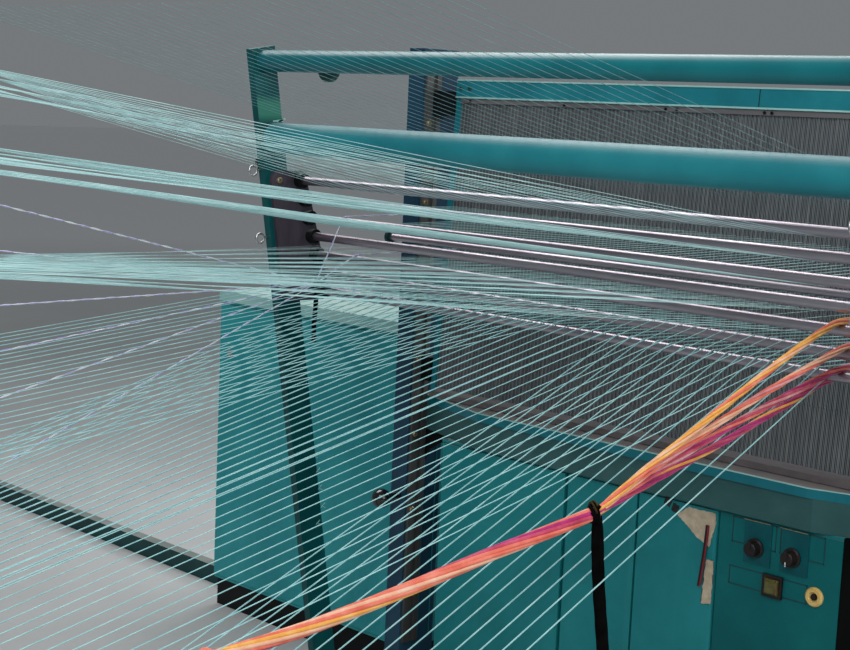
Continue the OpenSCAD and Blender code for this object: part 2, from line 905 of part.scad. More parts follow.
// One thread as a bent strip of points [y, z]
module thread(x, path) {
    translate([x - thread_t / 2, 0, 0]) rotate([90, 0, 90]) linear_extrude(thread_t)
        polygon(concat(
            [for (p = path) [p[0], p[1] - thread_t / 2]],
            [for (i = [len(path) - 1 : -1 : 0]) [path[i][0], path[i][1] + thread_t / 2]]
        ));
}

module warp_sheet(k) {
    side = k > under_count ? 1 : -1;
    for (i = [0 : thread_last]) {
        x = thread_x(i);
        rod_face = rod_z(k) + side * rod_d / 2;
        slope = (rod_face - creel_z(k, x)) / (rod_y(k) - creel_y(x));
        touch = side * (rod_d / 2 + clear + thread_t) * sqrt(1 + pow(slope, 2));
        thread(x, [
            [creel_y(x), creel_z(k, x)], [rod_y(k), rod_z(k) + touch], [warp_end_y, drum_z(k)]
        ]);
    }
}

// The top sheet comes down between the two guide tubes
module top_sheet() {
    slope = -0.225;
    creel_end_y = -1330;
    z0 = low_tube_z + (low_tube_d / 2 + clear + thread_t) * sqrt(1 + pow(slope, 2));
    for (i = [0 : 2 : thread_last]) thread(thread_x(i), [
        [creel_end_y, z0 + slope * (creel_end_y - low_tube_y)],
        [low_tube_y, z0], [warp_end_y, z0 + slope * (warp_end_y - low_tube_y)]
    ]);
}

module upper_warp() {
    color("#cfe6e8") {
        top_sheet();
        warp_sheet(1);
        warp_sheet(2);
    }
}

module middle_warp() {
    color("#cfe6e8") for (k = [3 : 5]) warp_sheet(k);
}

module lower_warp() {
    color("#cfe6e8") for (k = [6 : 7]) warp_sheet(k);
}

// A tube of n sides swept along points, its rings square to the route
function unit(v) = v / norm(v);
function way_at(p, i) = unit(p[min(i + 1, len(p) - 1)] - p[max(i - 1, 0)]);
function side_of(d) = unit(cross(d, abs(d[2]) < 0.9 ? [0, 0, 1] : [1, 0, 0]));
function ring(p, i, r, n) = let (d = way_at(p, i), a = side_of(d), b = cross(a, d))
    [for (j = [0 : n - 1]) p[i] + r * (cos(360 * j / n) * a + sin(360 * j / n) * b)];

// The closed skin through rings of n points
module skin(rings, n) {
    last = len(rings) - 1;
    polyhedron(
        points = [for (r = rings) each r],
        faces = concat(
            [[for (j = [n - 1 : -1 : 0]) j]],
            [for (i = [0 : last - 1], j = [0 : n - 1])
                [i * n + j, i * n + (j + 1) % n, (i + 1) * n + (j + 1) % n, (i + 1) * n + j]],
            [[for (j = [0 : n - 1]) last * n + j]]
        )
    );
}

module swept(p, d, n = 8) {
    skin([for (i = [0 : len(p) - 1]) ring(p, i, d / 2, n)], n);
}

// A flat ribbon along a hanging route, its face towards the creel's right wing
ribbon_t = 2.4;
ribbon_way = unit([1, 1, 0]);
function ribbon_ring(p, i, w) = let (b = unit(cross(way_at(p, i), ribbon_way)) * ribbon_t / 2)
    [for (s = [[-1, -1], [1, -1], [1, 1], [-1, 1]]) p[i] + s[0] * w / 2 * ribbon_way + s[1] * b];

module ribbon(p, w) {
    skin([for (i = [0 : len(p) - 1]) ribbon_ring(p, i, w)], 4);
}

// Routes, from the creel side to the rods
bundle_route = [
    [406, -1520, 715], [456, -1400, 745], [506, -1270, 785], [556, -1140, 830],
    [596, -1045, 862], [626, -965, 888]
];
strand_over_5 = [
    [626, -965, 888], [634, -870, 938], [643, -760, 990], [650, -620, 1053],
    [654, -500, 1102], [656, -400, 1137], [657, -353, 1146.8], [657, -250, 1147.5]
];
strand_over_6 = [
    [626, -965, 888], [632, -870, 930], [639, -760, 972], [647, -620, 1022],
    [656, -500, 1060], [663, -400, 1089], [665, -339, 1103.2], [665, -250, 1104]
];
strand_over_7 = [
    [626, -965, 888], [630, -870, 922], [634, -760, 955], [639, -620, 994],
    [643, -500, 1023], [647, -400, 1047], [649, -325, 1059.7], [649, -250, 1060.5]
];
strand_under_7 = [
    [626, -965, 888], [624, -870, 908], [620, -760, 930], [616, -620, 958],
    [614, -500, 986], [614, -400, 1010], [614, -325, 1030.2], [614, -250, 1036]
];
ribbon_route = [
    [626, -964, 882], [626, -961, 855], [626, -957, 820], [626, -950, 770],
    [627, -942, 720], [630, -936, 670], [633, -931, 620]
];
lilac_knot = [-654, -433.8, 1074.5];
lilac_left = [
    [[-686, -1242, 1265], lilac_knot], [[-679, -1245, 1174.2], lilac_knot],
    [[-692, -1236.4, 1062.5], lilac_knot], [[-674, -1245.8, 972.4], lilac_knot],
    [[-684, -1239.1, 874.6], lilac_knot], [[-672, -1244.5, 736.4], lilac_knot]
];
lilac_right = [
    [lilac_knot, [-614.9, -390.6, 1225.7], [-614.9, -386.1, 1229.8], [-614.9, -380.4, 1231.3],
     [-614.9, 60, 1238]],
    [lilac_knot, [-604, -358.4, 1142.9], [-604, -352.8, 1144.1], [-604, 60, 1150]],
    [lilac_knot, [-593.1, -325.2, 1057.2], [-593.1, 60, 1078]]
];
lilac_ribbon_route = [
    [-652, -434, 1064.5], [-646, -436, 1042], [-644, -439, 1012], [-644, -441, 977], [-644, -440, 942]
];

module yarn_bundle() {
    color("#e0603a") {
        swept(bundle_route, 22);
        for (route = [strand_over_5, strand_over_6, strand_over_7, strand_under_7])
            swept(route, 8);
    }
}

module tie_ribbons() {
    color(black) {
        ribbon(ribbon_route, 20);
        ribbon(lilac_ribbon_route, 11);
    }
}

module lilac_yarns() {
    color("#a99bd0") {
        for (route = concat(lilac_left, lilac_right)) swept(route, 3);
        translate(lilac_knot) sphere(d = 26, $fn = 24);
    }
}

left_side_arm();
right_side_arm();
base_sills();
top_guide_tube();
lower_guide_tube();
stop_disc();
left_rod_plate();
right_rod_plate();
rod_sockets();
divider_rod(1);  // divider_rod_1
divider_rod(2);  // divider_rod_2
divider_rod(3);  // divider_rod_3
divider_rod(4);  // divider_rod_4
divider_rod(5);  // divider_rod_5
divider_rod(6);  // divider_rod_6
divider_rod(7);  // divider_rod_7
rear_rod();
rear_rod_brackets();
left_post();
right_post();
post_caps();
left_slide_rail();
right_slide_rail();
reed_top_rail();
reed_bottom_rail();
reed_side_strips();
reed_baulks();
reed_wires();
reed_shoes();
cross_beam();
beam_gussets();
cabinet_case();
cabinet_plinth();
left_door();
centre_door();
right_door();
control_panel();
switch_plates();
left_switch_knob();
right_switch_knob();
button_bezel();
push_button();
ring_socket();
box_case();
box_lid();
box_door();
box_plinth();
box_latch();
floor_rail();
ball_knob();
left_clamp_knob();
right_clamp_knob();
yarn_guides();
frame_screws();
upper_warp();
middle_warp();
lower_warp();
yarn_bundle();
tie_ribbons();
lilac_yarns();
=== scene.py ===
import math
import random

import bmesh
import bpy
from mathutils import Matrix, Vector


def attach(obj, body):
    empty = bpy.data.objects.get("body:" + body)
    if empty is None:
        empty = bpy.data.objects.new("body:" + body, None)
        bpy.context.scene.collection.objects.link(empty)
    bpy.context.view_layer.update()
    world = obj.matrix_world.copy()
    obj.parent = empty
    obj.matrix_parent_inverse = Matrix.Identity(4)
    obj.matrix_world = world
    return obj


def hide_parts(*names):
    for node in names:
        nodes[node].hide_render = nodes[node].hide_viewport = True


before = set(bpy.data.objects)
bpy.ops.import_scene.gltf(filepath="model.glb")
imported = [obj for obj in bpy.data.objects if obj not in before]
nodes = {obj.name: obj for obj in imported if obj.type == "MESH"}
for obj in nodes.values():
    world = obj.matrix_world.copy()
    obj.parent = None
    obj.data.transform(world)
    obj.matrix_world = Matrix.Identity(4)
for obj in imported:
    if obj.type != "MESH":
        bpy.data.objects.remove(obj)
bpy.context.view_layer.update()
mm = 0.001
dice = random.Random(7)

# Sizes that the looks share with the solids, in metres. A place that ends in _at is Y and Z on the
# frame, and X and Z on the control panel. reed_in and reed_half are half the reed's clear and whole
# width, arm_face is the left arm's inner face, and clearance lies between a thread and its rod
rod_d = 0.020
first_rod_at = (-0.408, 1.306)
rod_step = (0.0138, -0.0435)
reed_in = 0.653
reed_half = 0.668
gap_count = 120
gap_pitch = 2 * reed_in / gap_count
reed_foot = (0, -0.020, 0.772)
reed_tilt = math.radians(-3.6)
# From the upright reed to the leaning one
lean = Matrix.Translation(reed_foot) @ Matrix.Rotation(reed_tilt, 4, "X")
arm_face = -0.760
top_tube_at = (-0.516, 1.575)
lower_tube_at = (-0.4802, 1.402)
lower_tube_d = 0.070
clearance = 0.0003
door_front = -0.066
switch_xs = (0.334, 0.422)
switch_z = 0.618
button_at = (0.381, 0.548)
ring_at = (0.479, 0.550)


def rod_at(k):
    """Centre (y, z) of divider rod k, the top one being 1."""
    return first_rod_at[0] + rod_step[0] * (k - 1), first_rod_at[1] + rod_step[1] * (k - 1)


# Small tools
def srgb(colour):
    """An sRGB hex colour as linear RGBA."""
    parts = [int(colour[i:i + 2], 16) / 255 for i in (1, 3, 5)]
    return [c / 12.92 if c <= 0.04045 else ((c + 0.055) / 1.055) ** 2.4 for c in parts] + [1.0]


def add(tree, kind, wires=None, **settings):
    """A new node of a tree, with its settings, values and links."""
    new = tree.nodes.new(kind)
    for name, value in settings.items():
        setattr(new, name, value)
    for key, value in (wires or {}).items():
        if isinstance(value, bpy.types.NodeSocket):
            tree.links.new(value, new.inputs[key])
        else:
            new.inputs[key].default_value = value
    return new


def piece(name, mesh, body="stand", material=None):
    """A mesh as a piece that rides on a body."""
    made = bpy.data.objects.new(name, mesh)
    bpy.context.scene.collection.objects.link(made)
    if material:
        mesh.materials.append(material)
    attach(made, body)
    return made


def from_bmesh(name, shape, smooth=False, place=None):
    """A mesh from a bmesh, put in place, its normals outwards."""
    bmesh.ops.recalc_face_normals(shape, faces=shape.faces)
    if place:
        bmesh.ops.transform(shape, matrix=place, verts=shape.verts)
    mesh = bpy.data.meshes.new(name)
    shape.to_mesh(mesh)
    shape.free()
    for face in mesh.polygons:
        face.use_smooth = smooth
    return mesh


def slab(shape, low, high, bevel=0.0):
    """A box between two corners, its edges rounded by bevel."""
    centre = (Vector(low) + Vector(high)) / 2
    size = Vector(high) - Vector(low)
    grown = bmesh.ops.create_cube(shape, size=1.0)["verts"]
    bmesh.ops.scale(shape, vec=size, verts=grown)
    bmesh.ops.translate(shape, vec=centre, verts=grown)
    if bevel:
        edges = list({e for v in grown for e in v.link_edges})
        bmesh.ops.bevel(shape, geom=edges, offset=bevel, segments=2, affect="EDGES", profile=0.6)


def lines_object(name, routes):
    """Poly curves, one for each route, as a source for the thread tree."""
    curve = bpy.data.curves.new(name, "CURVE")
    curve.dimensions = "3D"
    for route in routes:
        spline = curve.splines.new("POLY")
        spline.points.add(len(route) - 1)
        for point, place in zip(spline.points, route):
            point.co = (*place, 1.0)
    made = bpy.data.objects.new(name, curve)
    bpy.context.scene.collection.objects.link(made)
    return made


def points_object(name, places):
    """Loose points as a source for the trees that repeat a shape."""
    mesh = bpy.data.meshes.new(name)
    mesh.from_pydata([tuple(p) for p in places], [], [])
    made = bpy.data.objects.new(name, mesh)
    bpy.context.scene.collection.objects.link(made)
    return made


def grown_mesh(source, tree, **values):
    """The mesh that a geometry tree makes from a source, whose object is then removed."""
    modifier = source.modifiers.new("grow", "NODES")
    modifier.node_group = tree
    for item in tree.interface.items_tree:
        if item.item_type == "SOCKET" and item.in_out == "INPUT" and item.name in values:
            modifier[item.identifier] = values[item.name]
    source.update_tag()
    graph = bpy.context.evaluated_depsgraph_get()
    mesh = bpy.data.meshes.new_from_object(source.evaluated_get(graph))
    source.modifiers.remove(modifier)
    bpy.data.objects.remove(source)
    return mesh


def tree_with(name, **sockets):
    """A geometry tree with named inputs, and its group input and output nodes."""
    tree = bpy.data.node_groups.new(name, "GeometryNodeTree")
    tree.interface.new_socket("Geometry", in_out="INPUT", socket_type="NodeSocketGeometry")
    for label, kind in sockets.items():
        tree.interface.new_socket(label, in_out="INPUT", socket_type=kind)
    tree.interface.new_socket("Geometry", in_out="OUTPUT", socket_type="NodeSocketGeometry")
    return tree, add(tree, "NodeGroupInput"), add(tree, "NodeGroupOutput")


def end_tree(tree, given, output, geometry):
    """Ends a tree in Realize Instances, Set Shade Smooth and Set Material."""
    real = add(tree, "GeometryNodeRealizeInstances", {"Geometry": geometry})
    smooth = add(tree, "GeometryNodeSetShadeSmooth", {"Geometry": real.outputs[0]})
    coated = add(tree, "GeometryNodeSetMaterial",
                 {"Geometry": smooth.outputs[0], "Material": given.outputs["Material"]})
    tree.links.new(coated.outputs[0], output.inputs["Geometry"])


def thread_tree():
    """Round threads along curves."""
    tree, given, output = tree_with("threads", Diameter="NodeSocketFloat", Sides="NodeSocketInt",
                                    Material="NodeSocketMaterial")
    half = add(tree, "ShaderNodeMath", {0: given.outputs["Diameter"], 1: 0.5}, operation="MULTIPLY")
    section = add(tree, "GeometryNodeCurvePrimitiveCircle",
                  {"Resolution": given.outputs["Sides"], "Radius": half.outputs[0]})
    tube = add(tree, "GeometryNodeCurveToMesh", {
        "Curve": given.outputs["Geometry"], "Profile Curve": section.outputs[0], "Fill Caps": True})
    end_tree(tree, given, output, tube.outputs[0])
    return tree


def knot_tree():
    """Small knots, one at each point."""
    tree, given, output = tree_with("knots", Size="NodeSocketFloat", Material="NodeSocketMaterial")
    ball = add(tree, "GeometryNodeMeshIcoSphere", {"Radius": given.outputs["Size"], "Subdivisions": 2})
    turn = add(tree, "FunctionNodeRandomValue", {"Seed": 4}, data_type="FLOAT_VECTOR")
    many = add(tree, "GeometryNodeInstanceOnPoints", {
        "Points": given.outputs["Geometry"], "Instance": ball.outputs[0],
        "Rotation": turn.outputs[0], "Scale": (1.5, 1.0, 1.0)})
    end_tree(tree, given, output, many.outputs[0])
    return tree


def screw_tree():
    """Cap screws with a chamfered head and a hexagon socket, one at each point, all turned alike."""
    tree, given, output = tree_with("cap_screws", Diameter="NodeSocketFloat", Height="NodeSocketFloat",
                                    Turn="NodeSocketVector", Material="NodeSocketMaterial")
    # Radii of the head, its chamfered rim and its socket, and depths of the head's plain part, its
    # chamfer and its middle, as shares of the diameter and the height
    wide, rim, hollow, plain, bevel, middle = (
        add(tree, "ShaderNodeMath", {0: given.outputs[size], 1: share}, operation="MULTIPLY").outputs[0]
        for size, share in (("Diameter", 0.5), ("Diameter", 0.43), ("Diameter", 0.25),
                            ("Height", 0.8), ("Height", 0.2), ("Height", 0.5)))
    head = add(tree, "GeometryNodeMeshCone", {
        "Vertices": 20, "Radius Top": wide, "Radius Bottom": wide, "Depth": plain})
    chamfer = add(tree, "GeometryNodeMeshCone", {
        "Vertices": 20, "Radius Top": rim, "Radius Bottom": wide, "Depth": bevel})
    socket = add(tree, "GeometryNodeMeshCone", {
        "Vertices": 6, "Radius Top": hollow, "Radius Bottom": hollow, "Depth": given.outputs["Height"]})
    top = add(tree, "GeometryNodeTransform", {
        "Geometry": chamfer.outputs[0],
        "Translation": add(tree, "ShaderNodeCombineXYZ", {"Z": plain}).outputs[0]})
    sunk = add(tree, "GeometryNodeTransform", {
        "Geometry": socket.outputs[0],
        "Translation": add(tree, "ShaderNodeCombineXYZ", {"Z": middle}).outputs[0]})
    body = add(tree, "GeometryNodeJoinGeometry")
    tree.links.new(head.outputs[0], body.inputs[0])
    tree.links.new(top.outputs[0], body.inputs[0])
    cut = add(tree, "GeometryNodeMeshBoolean", {"Mesh 1": body.outputs[0], "Mesh 2": sunk.outputs[0]},
              operation="DIFFERENCE")
    many = add(tree, "GeometryNodeInstanceOnPoints", {
        "Points": given.outputs["Geometry"], "Instance": cut.outputs[0],
        "Rotation": given.outputs["Turn"]})
    real = add(tree, "GeometryNodeRealizeInstances", {"Geometry": many.outputs[0]})
    coated = add(tree, "GeometryNodeSetMaterial",
                 {"Geometry": real.outputs[0], "Material": given.outputs["Material"]})
    tree.links.new(coated.outputs[0], output.inputs["Geometry"])
    return tree


# Camera
def photo_camera():
    """The photograph's view, 68 mm on a 36 mm wide sensor, from the creel side."""
    back = Vector((0.7002, -0.7015, 0.1328)).normalized()
    right = Vector((-0.1258, 0.0618, 0.9901)).cross(back).normalized()
    up = back.cross(right)
    data = bpy.data.cameras.new("photo_camera")
    data.lens = 68.15
    data.sensor_width = 36
    data.sensor_fit = "HORIZONTAL"
    camera = bpy.data.objects.new("photo_camera", data)
    camera.matrix_world = Matrix.Translation((2.120, -2.850, 1.483)) @ Matrix(
        (right, up, back)).transposed().to_4x4()
    bpy.context.scene.collection.objects.link(camera)
    bpy.context.scene.camera = camera


photo_camera()


# Materials
def finish(name, tones, rough, metallic=0.0, patch=0.2, grain=0.003, depth=0.0, stretch=(1, 1, 1),
           coat=0.0, sheen=0.0, gleam=0.5, dust=0.0, dust_tone="#a8aaa4", streak=None, band=None):
    """A material: a broad drift of colour, a fine grain that changes roughness and height, and
    dust on what faces up. patch and grain are sizes in metres. streak is the colour of wiped
    runs down the face, and band a lowest and highest height with the colour between them on
    what faces +X, a painted highlight. gleam is the specular level."""
    made = bpy.data.materials.new(name)
    made.use_nodes = True
    tree = made.node_tree
    tree.nodes.clear()
    place = add(tree, "ShaderNodeTexCoord").outputs["Object"]
    drawn = add(tree, "ShaderNodeMapping", {"Vector": place, "Scale": stretch}).outputs[0]
    broad = add(tree, "ShaderNodeTexNoise", {
        "Vector": drawn, "Scale": 1 / patch, "Detail": 6.0, "Roughness": 0.62})
    fine = add(tree, "ShaderNodeTexNoise", {
        "Vector": drawn, "Scale": 1 / grain, "Detail": 3.0, "Roughness": 0.5})
    ramp = add(tree, "ShaderNodeValToRGB", {"Fac": broad.outputs["Fac"]})
    ramp.color_ramp.elements[0].position = 0.32
    ramp.color_ramp.elements[0].color = srgb(tones[0])
    ramp.color_ramp.elements[1].position = 0.68
    ramp.color_ramp.elements[1].color = srgb(tones[2])
    ramp.color_ramp.elements.new(0.5).color = srgb(tones[1])
    colour = ramp.outputs["Color"]
    if streak:
        long = add(tree, "ShaderNodeMapping", {"Vector": place, "Scale": (40, 40, 1.6)}).outputs[0]
        runs = add(tree, "ShaderNodeTexNoise", {"Vector": long, "Scale": 1.0, "Detail": 4.0})
        share = add(tree, "ShaderNodeMapRange", {
            "Value": runs.outputs["Fac"], "From Min": 0.55, "From Max": 0.8, "To Max": 0.5})
        colour = mixed(tree, share.outputs[0], colour, srgb(streak))
    # band paints a highlight: its colour between two heights, on what faces +X
    if band:
        band_blend = 0.02
        height = add(tree, "ShaderNodeSeparateXYZ", {"Vector": place}).outputs["Z"]
        above = add(tree, "ShaderNodeMapRange", {
            "Value": height, "From Min": band[0], "From Max": band[0] + band_blend})
        below = add(tree, "ShaderNodeMapRange", {
            "Value": height, "From Min": band[1], "From Max": band[1] - band_blend})
        share = add(tree, "ShaderNodeMath", {0: above.outputs[0], 1: below.outputs[0]},
                    operation="MULTIPLY")
        side = add(tree, "ShaderNodeSeparateXYZ", {
            "Vector": add(tree, "ShaderNodeNewGeometry").outputs["Normal"]}).outputs["X"]
        share = add(tree, "ShaderNodeMath", {0: share.outputs[0], 1: side}, operation="MULTIPLY",
                    use_clamp=True)
        colour = mixed(tree, share.outputs[0], colour, srgb(band[2]))
    if dust:
        face = add(tree, "ShaderNodeNewGeometry").outputs["Normal"]
        up = add(tree, "ShaderNodeSeparateXYZ", {"Vector": face}).outputs["Z"]
        lying = add(tree, "ShaderNodeMapRange", {
            "Value": up, "From Min": 0.5, "From Max": 1.0, "To Max": dust * 2})
        amount = add(tree, "ShaderNodeMath", {0: lying.outputs[0], 1: broad.outputs["Fac"]},
                     operation="MULTIPLY")
        colour = mixed(tree, amount.outputs[0], colour, srgb(dust_tone))
    gloss = add(tree, "ShaderNodeMapRange", {
        "Value": fine.outputs["Fac"], "To Min": rough[0], "To Max": rough[1]})
    wires = {"Base Color": colour, "Roughness": gloss.outputs[0], "Metallic": metallic}
    if not metallic:
        wires["Specular IOR Level"] = gleam
    if coat:
        wires.update({"Coat Weight": coat, "Coat Roughness": 0.12})
    if sheen:
        wires.update({"Sheen Weight": sheen, "Sheen Roughness": 0.4})
    if depth:
        relief = add(tree, "ShaderNodeBump", {
            "Height": fine.outputs["Fac"], "Distance": depth, "Strength": 1.0})
        wires["Normal"] = relief.outputs[0]
    shader = add(tree, "ShaderNodeBsdfPrincipled", wires)
    add(tree, "ShaderNodeOutputMaterial", {"Surface": shader.outputs[0]})
    return made


def mixed(tree, share, first, second):
    """A colour mix of two, by a share."""
    mix = tree.nodes.new("ShaderNodeMix")
    mix.data_type = "RGBA"
    tree.links.new(share, mix.inputs[0])
    for socket, value in ((mix.inputs[6], first), (mix.inputs[7], second)):
        if isinstance(value, bpy.types.NodeSocket):
            tree.links.new(value, socket)
        else:
            socket.default_value = value
    return mix.outputs[2]


def acrylic(colour, tones):
    """Dyed acrylic yarn: matt and hairy, with a soft bloom where the light grazes it."""
    return finish("dyed_acrylic_" + colour, tones, (0.6, 0.8), patch=0.03, grain=0.002, depth=0.0002,
                  sheen=0.4)


# Stoved machine enamel on steel: a hard gloss with a faint orange peel of about 3 mm
tube_enamel = finish("stoved_enamel_tube_teal", ("#086069", "#0b6e77", "#137c83"), (0.3, 0.4),
                     patch=0.35, depth=0.00003, gleam=0.35, dust=0.3, dust_tone="#b9c4bf")
# The lower tube's enamel, a paler copy of the tube enamel as painted light, and duller
painted_light_tube_enamel = finish("stoved_enamel_tube_painted_light", ("#157480", "#1f828d", "#2c909a"), (0.4, 0.52),
                          patch=0.35, depth=0.00003, gleam=0.3, dust=0.3, dust_tone="#b9c4bf")
# The arms' enamel, darker than the tubes' as painted shade on their inner faces, with a painted greenish
# highlight on what faces +X between the two tubes
arm_enamel = finish("stoved_enamel_arm_teal", ("#043e41", "#074c4f", "#0d5a5c"), (0.32, 0.44), patch=0.3,
                    depth=0.00003, gleam=0.2, dust=0.4, band=(1.435, 1.50, "#387a69"))
# The reed frame's enamel, a shade bluer
reed_enamel = finish("stoved_enamel_reed_teal", ("#156b77", "#1d7985", "#278892"), (0.3, 0.42),
                     patch=0.3, depth=0.00003, gleam=0.25, dust=0.3, dust_tone="#b9c4bf")
# The same enamel on the cabinet and its doors, with faint runs where it was wiped
door_enamel = finish("stoved_enamel_doors", ("#147075", "#1a7f84", "#248d91"), (0.32, 0.44),
                     patch=0.4, depth=0.00003, gleam=0.2, dust=0.5, streak="#2a8689")
# And on the box, where it is lighter
box_enamel = finish("stoved_enamel_box", ("#1f878f", "#28949b", "#33a2a7"), (0.32, 0.44),
                    patch=0.4, depth=0.00003, gleam=0.2, dust=0.5, streak="#3ca0a6")
# The beam's enamel, a dark greyed teal that paints the shade on the beam's face, with lint and dust on what
# faces up
shaded_dusty_beam_enamel = finish("stoved_enamel_beam_shade_and_dust", ("#2a4f51", "#335a5b", "#426667"), (0.4, 0.55),
                     patch=0.2, depth=0.00004, gleam=0.2, dust=0.9, dust_tone="#867d7c")
# The beam's lip, in the plain teal enamel, without the painted shade of the rest of the beam
lip_enamel = finish("stoved_enamel_lip_blue_teal", ("#0a6370", "#0d6d7a", "#147885"), (0.3, 0.4),
                    patch=0.2, gleam=0.3)
# The panel's enamel, deeper and cleaner
panel_enamel = finish("stoved_enamel_panel", ("#05575a", "#086265", "#0e6d6f"), (0.32, 0.44), patch=0.25,
                      depth=0.00003, gleam=0.15, dust=0.4)
# Other enamels: dark on the sills and brackets, pale on the box's lid, navy on the posts. The pale one also
# paints highlights along the reed rail and the beam's lip
dark_enamel = finish("stoved_enamel_dark_teal", ("#0a3436", "#0e3e40", "#14494a"), (0.3, 0.44),
                     patch=0.25, depth=0.00003, gleam=0.2, dust=0.5)
pale_enamel_and_highlight = finish("stoved_enamel_pale_teal_and_highlight", ("#8ab9b6", "#9ac6c2", "#abd2cc"), (0.3, 0.45),
                     patch=0.3, depth=0.00003, gleam=0.3, dust=0.3)
navy_enamel = finish("stoved_enamel_navy", ("#153347", "#1c3d53", "#254a60"), (0.32, 0.44),
                     patch=0.25, depth=0.00003, gleam=0.2, dust=0.5)
# The reed's lower rail, its enamel grey with lint and oil
linted_enamel = finish("stoved_enamel_linted", ("#5a5556", "#6c6567", "#7e7678"), (0.45, 0.6),
                       patch=0.2, depth=0.00003, gleam=0.15, dust=0.4)
# Powder coat: matt black with a fine texture of about 1.5 mm, and painted shade on the beam's gussets
black_powder_and_shade = finish("powder_coat_black_and_painted_shade", ("#0b0d0e", "#111314", "#171a1b"), (0.45, 0.62),
                      grain=0.0015, depth=0.00006, gleam=0.15, dust=0.3)
# Painted shade: a near-black copy of the powder coat, for the cabinet's right side, which lies in shadow
painted_shade_black = finish("painted_shade_side_black", ("#030404", "#050606", "#080909"), (0.6, 0.75),
                    grain=0.0015, depth=0.00004, gleam=0.03)
# A green-black powder coat on the stop disc and the reed's screws
disc_green = finish("powder_coat_dark_green", ("#0f3735", "#15423f", "#1e4e4a"), (0.4, 0.55),
                    grain=0.0015, depth=0.00005, dust=0.3)
# Centreless-ground steel bar: drawn fine lines along X, a lilac-grey sheen
ground_steel = finish("ground_steel_bar", ("#938a93", "#a99fa8", "#bfb6bd"), (0.3, 0.42), metallic=1.0,
                      patch=0.05, grain=0.0012, stretch=(0.12, 3, 3))
# Cold-rolled plate: dull, purplish grey, with rolling lines
rolled_steel = finish("cold_rolled_plate", ("#4a424c", "#584f5a", "#685e69"), (0.36, 0.52), metallic=0.5,
                      patch=0.08, grain=0.002, stretch=(1, 1, 0.2), depth=0.00003)
# Worn guide strip: brownish steel, rubbed by the shoes
guide_steel = finish("rubbed_guide_strip", ("#3d3c3b", "#4b4a48", "#5b5a58"), (0.34, 0.5), metallic=0.3,
                     patch=0.12, grain=0.002, stretch=(1, 1, 0.15), depth=0.00003)
# Flat-rolled reed wire, polished
reed_steel = finish("polished_reed_wire", ("#8d9499", "#a2a8ac", "#b8bdc0"), (0.28, 0.42), metallic=0.7,
                    patch=0.03, grain=0.002, stretch=(4, 1, 0.3))
# The finer wires between, dark brown: painted shade for the dark behind the reed, with a brown tone of oil
shaded_brown_wire = finish("shaded_brown_reed_wire", ("#221b19", "#302725", "#3f3431"), (0.45, 0.6), metallic=0.2,
                      patch=0.05, grain=0.002, stretch=(4, 1, 0.3))
# Anodised aluminium bar, satin
satin_aluminium = finish("anodised_aluminium_satin", ("#7b7476", "#8b8486", "#9c9597"), (0.34, 0.46),
                         metallic=0.6, patch=0.1, grain=0.001, stretch=(0.15, 2, 2), depth=0.00001)
# Zinc-plated steel: bright, with a faint mottling of the plating
zinc_plate = finish("zinc_plated_steel", ("#a8aaa9", "#bcbebd", "#cfd1cf"), (0.2, 0.38), metallic=1.0,
                    patch=0.01, grain=0.002)
# Yellow-passivated zinc: the dull brass tone of the screws and of bare plate edges
brass_plate = finish("yellow_passivated_zinc", ("#8d8063", "#a39678", "#bcb08f"), (0.24, 0.4),
                     metallic=0.7, patch=0.01, grain=0.002)
# Moulded ABS, fine spark-eroded texture; its reddish-brown tint is a painted sheen
black_abs = finish("moulded_abs_black", ("#120d0e", "#1b1312", "#261a17"), (0.3, 0.44),
                   patch=0.03, grain=0.0012, depth=0.00004, gleam=0.35)
# Phenolic ball: polished, almost a mirror
phenolic = finish("polished_phenolic_black", ("#08090a", "#0c0d0f", "#131416"), (0.05, 0.1), coat=0.6)
# Moulded acrylic of the push button: glossy smoked amber with an olive mottle
amber_acrylic = finish("moulded_acrylic_amber", ("#4f3210", "#504a18", "#5c5e24"), (0.14, 0.22),
                       patch=0.012, coat=0.3)
# Moulded urea resin of the ring: cream, with a hard shine
cream_resin = finish("moulded_urea_cream", ("#c9a24e", "#dbb869", "#e8cb88"), (0.2, 0.3), patch=0.03,
                     coat=0.3)
# Screen-printed steel plate, bluish
blue_plate = finish("printed_plate_blue", ("#06494f", "#095359", "#0e5e64"), (0.32, 0.44), patch=0.06,
                    gleam=0.15)
# Pad-printed line, a little darker than the enamel
print_ink = finish("pad_print_ink", ("#032c2e", "#053537", "#083f41"), (0.4, 0.55), patch=0.05)
# The same print in white, on a knob's pointer
white_ink = finish("pad_print_white", ("#c6ccc8", "#d6dbd6", "#e4e7e2"), (0.4, 0.55), patch=0.01)
# Spun polyester warp: pale teal-white, with a soft sheen
warp_fibre = finish("spun_polyester_pale", ("#8fc0c2", "#a8d3d4", "#c2e4e3"), (0.5, 0.66), patch=0.05,
                    grain=0.004, sheen=0.3)
# The same warp on the two lowest sheets, a shade greener
lower_fibre = finish("spun_polyester_lower", ("#82c1c4", "#9ad2d5", "#b4e2e2"), (0.5, 0.66), patch=0.05,
                     grain=0.004, sheen=0.3)
# The same warp on the top sheet, in the shade between the tubes
shaded_fibre = finish("spun_polyester_shaded", ("#527f86", "#5f8d93", "#6f9ca1"), (0.5, 0.66), patch=0.05,
                      grain=0.004)
# Fancy yarns of dyed acrylic, from orange to magenta
orange_fibre = acrylic("orange", ("#e89a38", "#f8b14c", "#fdc972"))
peach_fibre = acrylic("peach", ("#eba884", "#f6bc9a", "#fbd0b4"))
coral_fibre = acrylic("coral", ("#e25f4c", "#f07660", "#f8927c"))
crimson_fibre = acrylic("crimson", ("#b02c4c", "#cc4464", "#dc607c"))
magenta_fibre = acrylic("magenta", ("#960f5c", "#b81c70", "#cc3a8a"))
pink_fibre = acrylic("pink", ("#cf7f86", "#df979a", "#ecb2b0"))
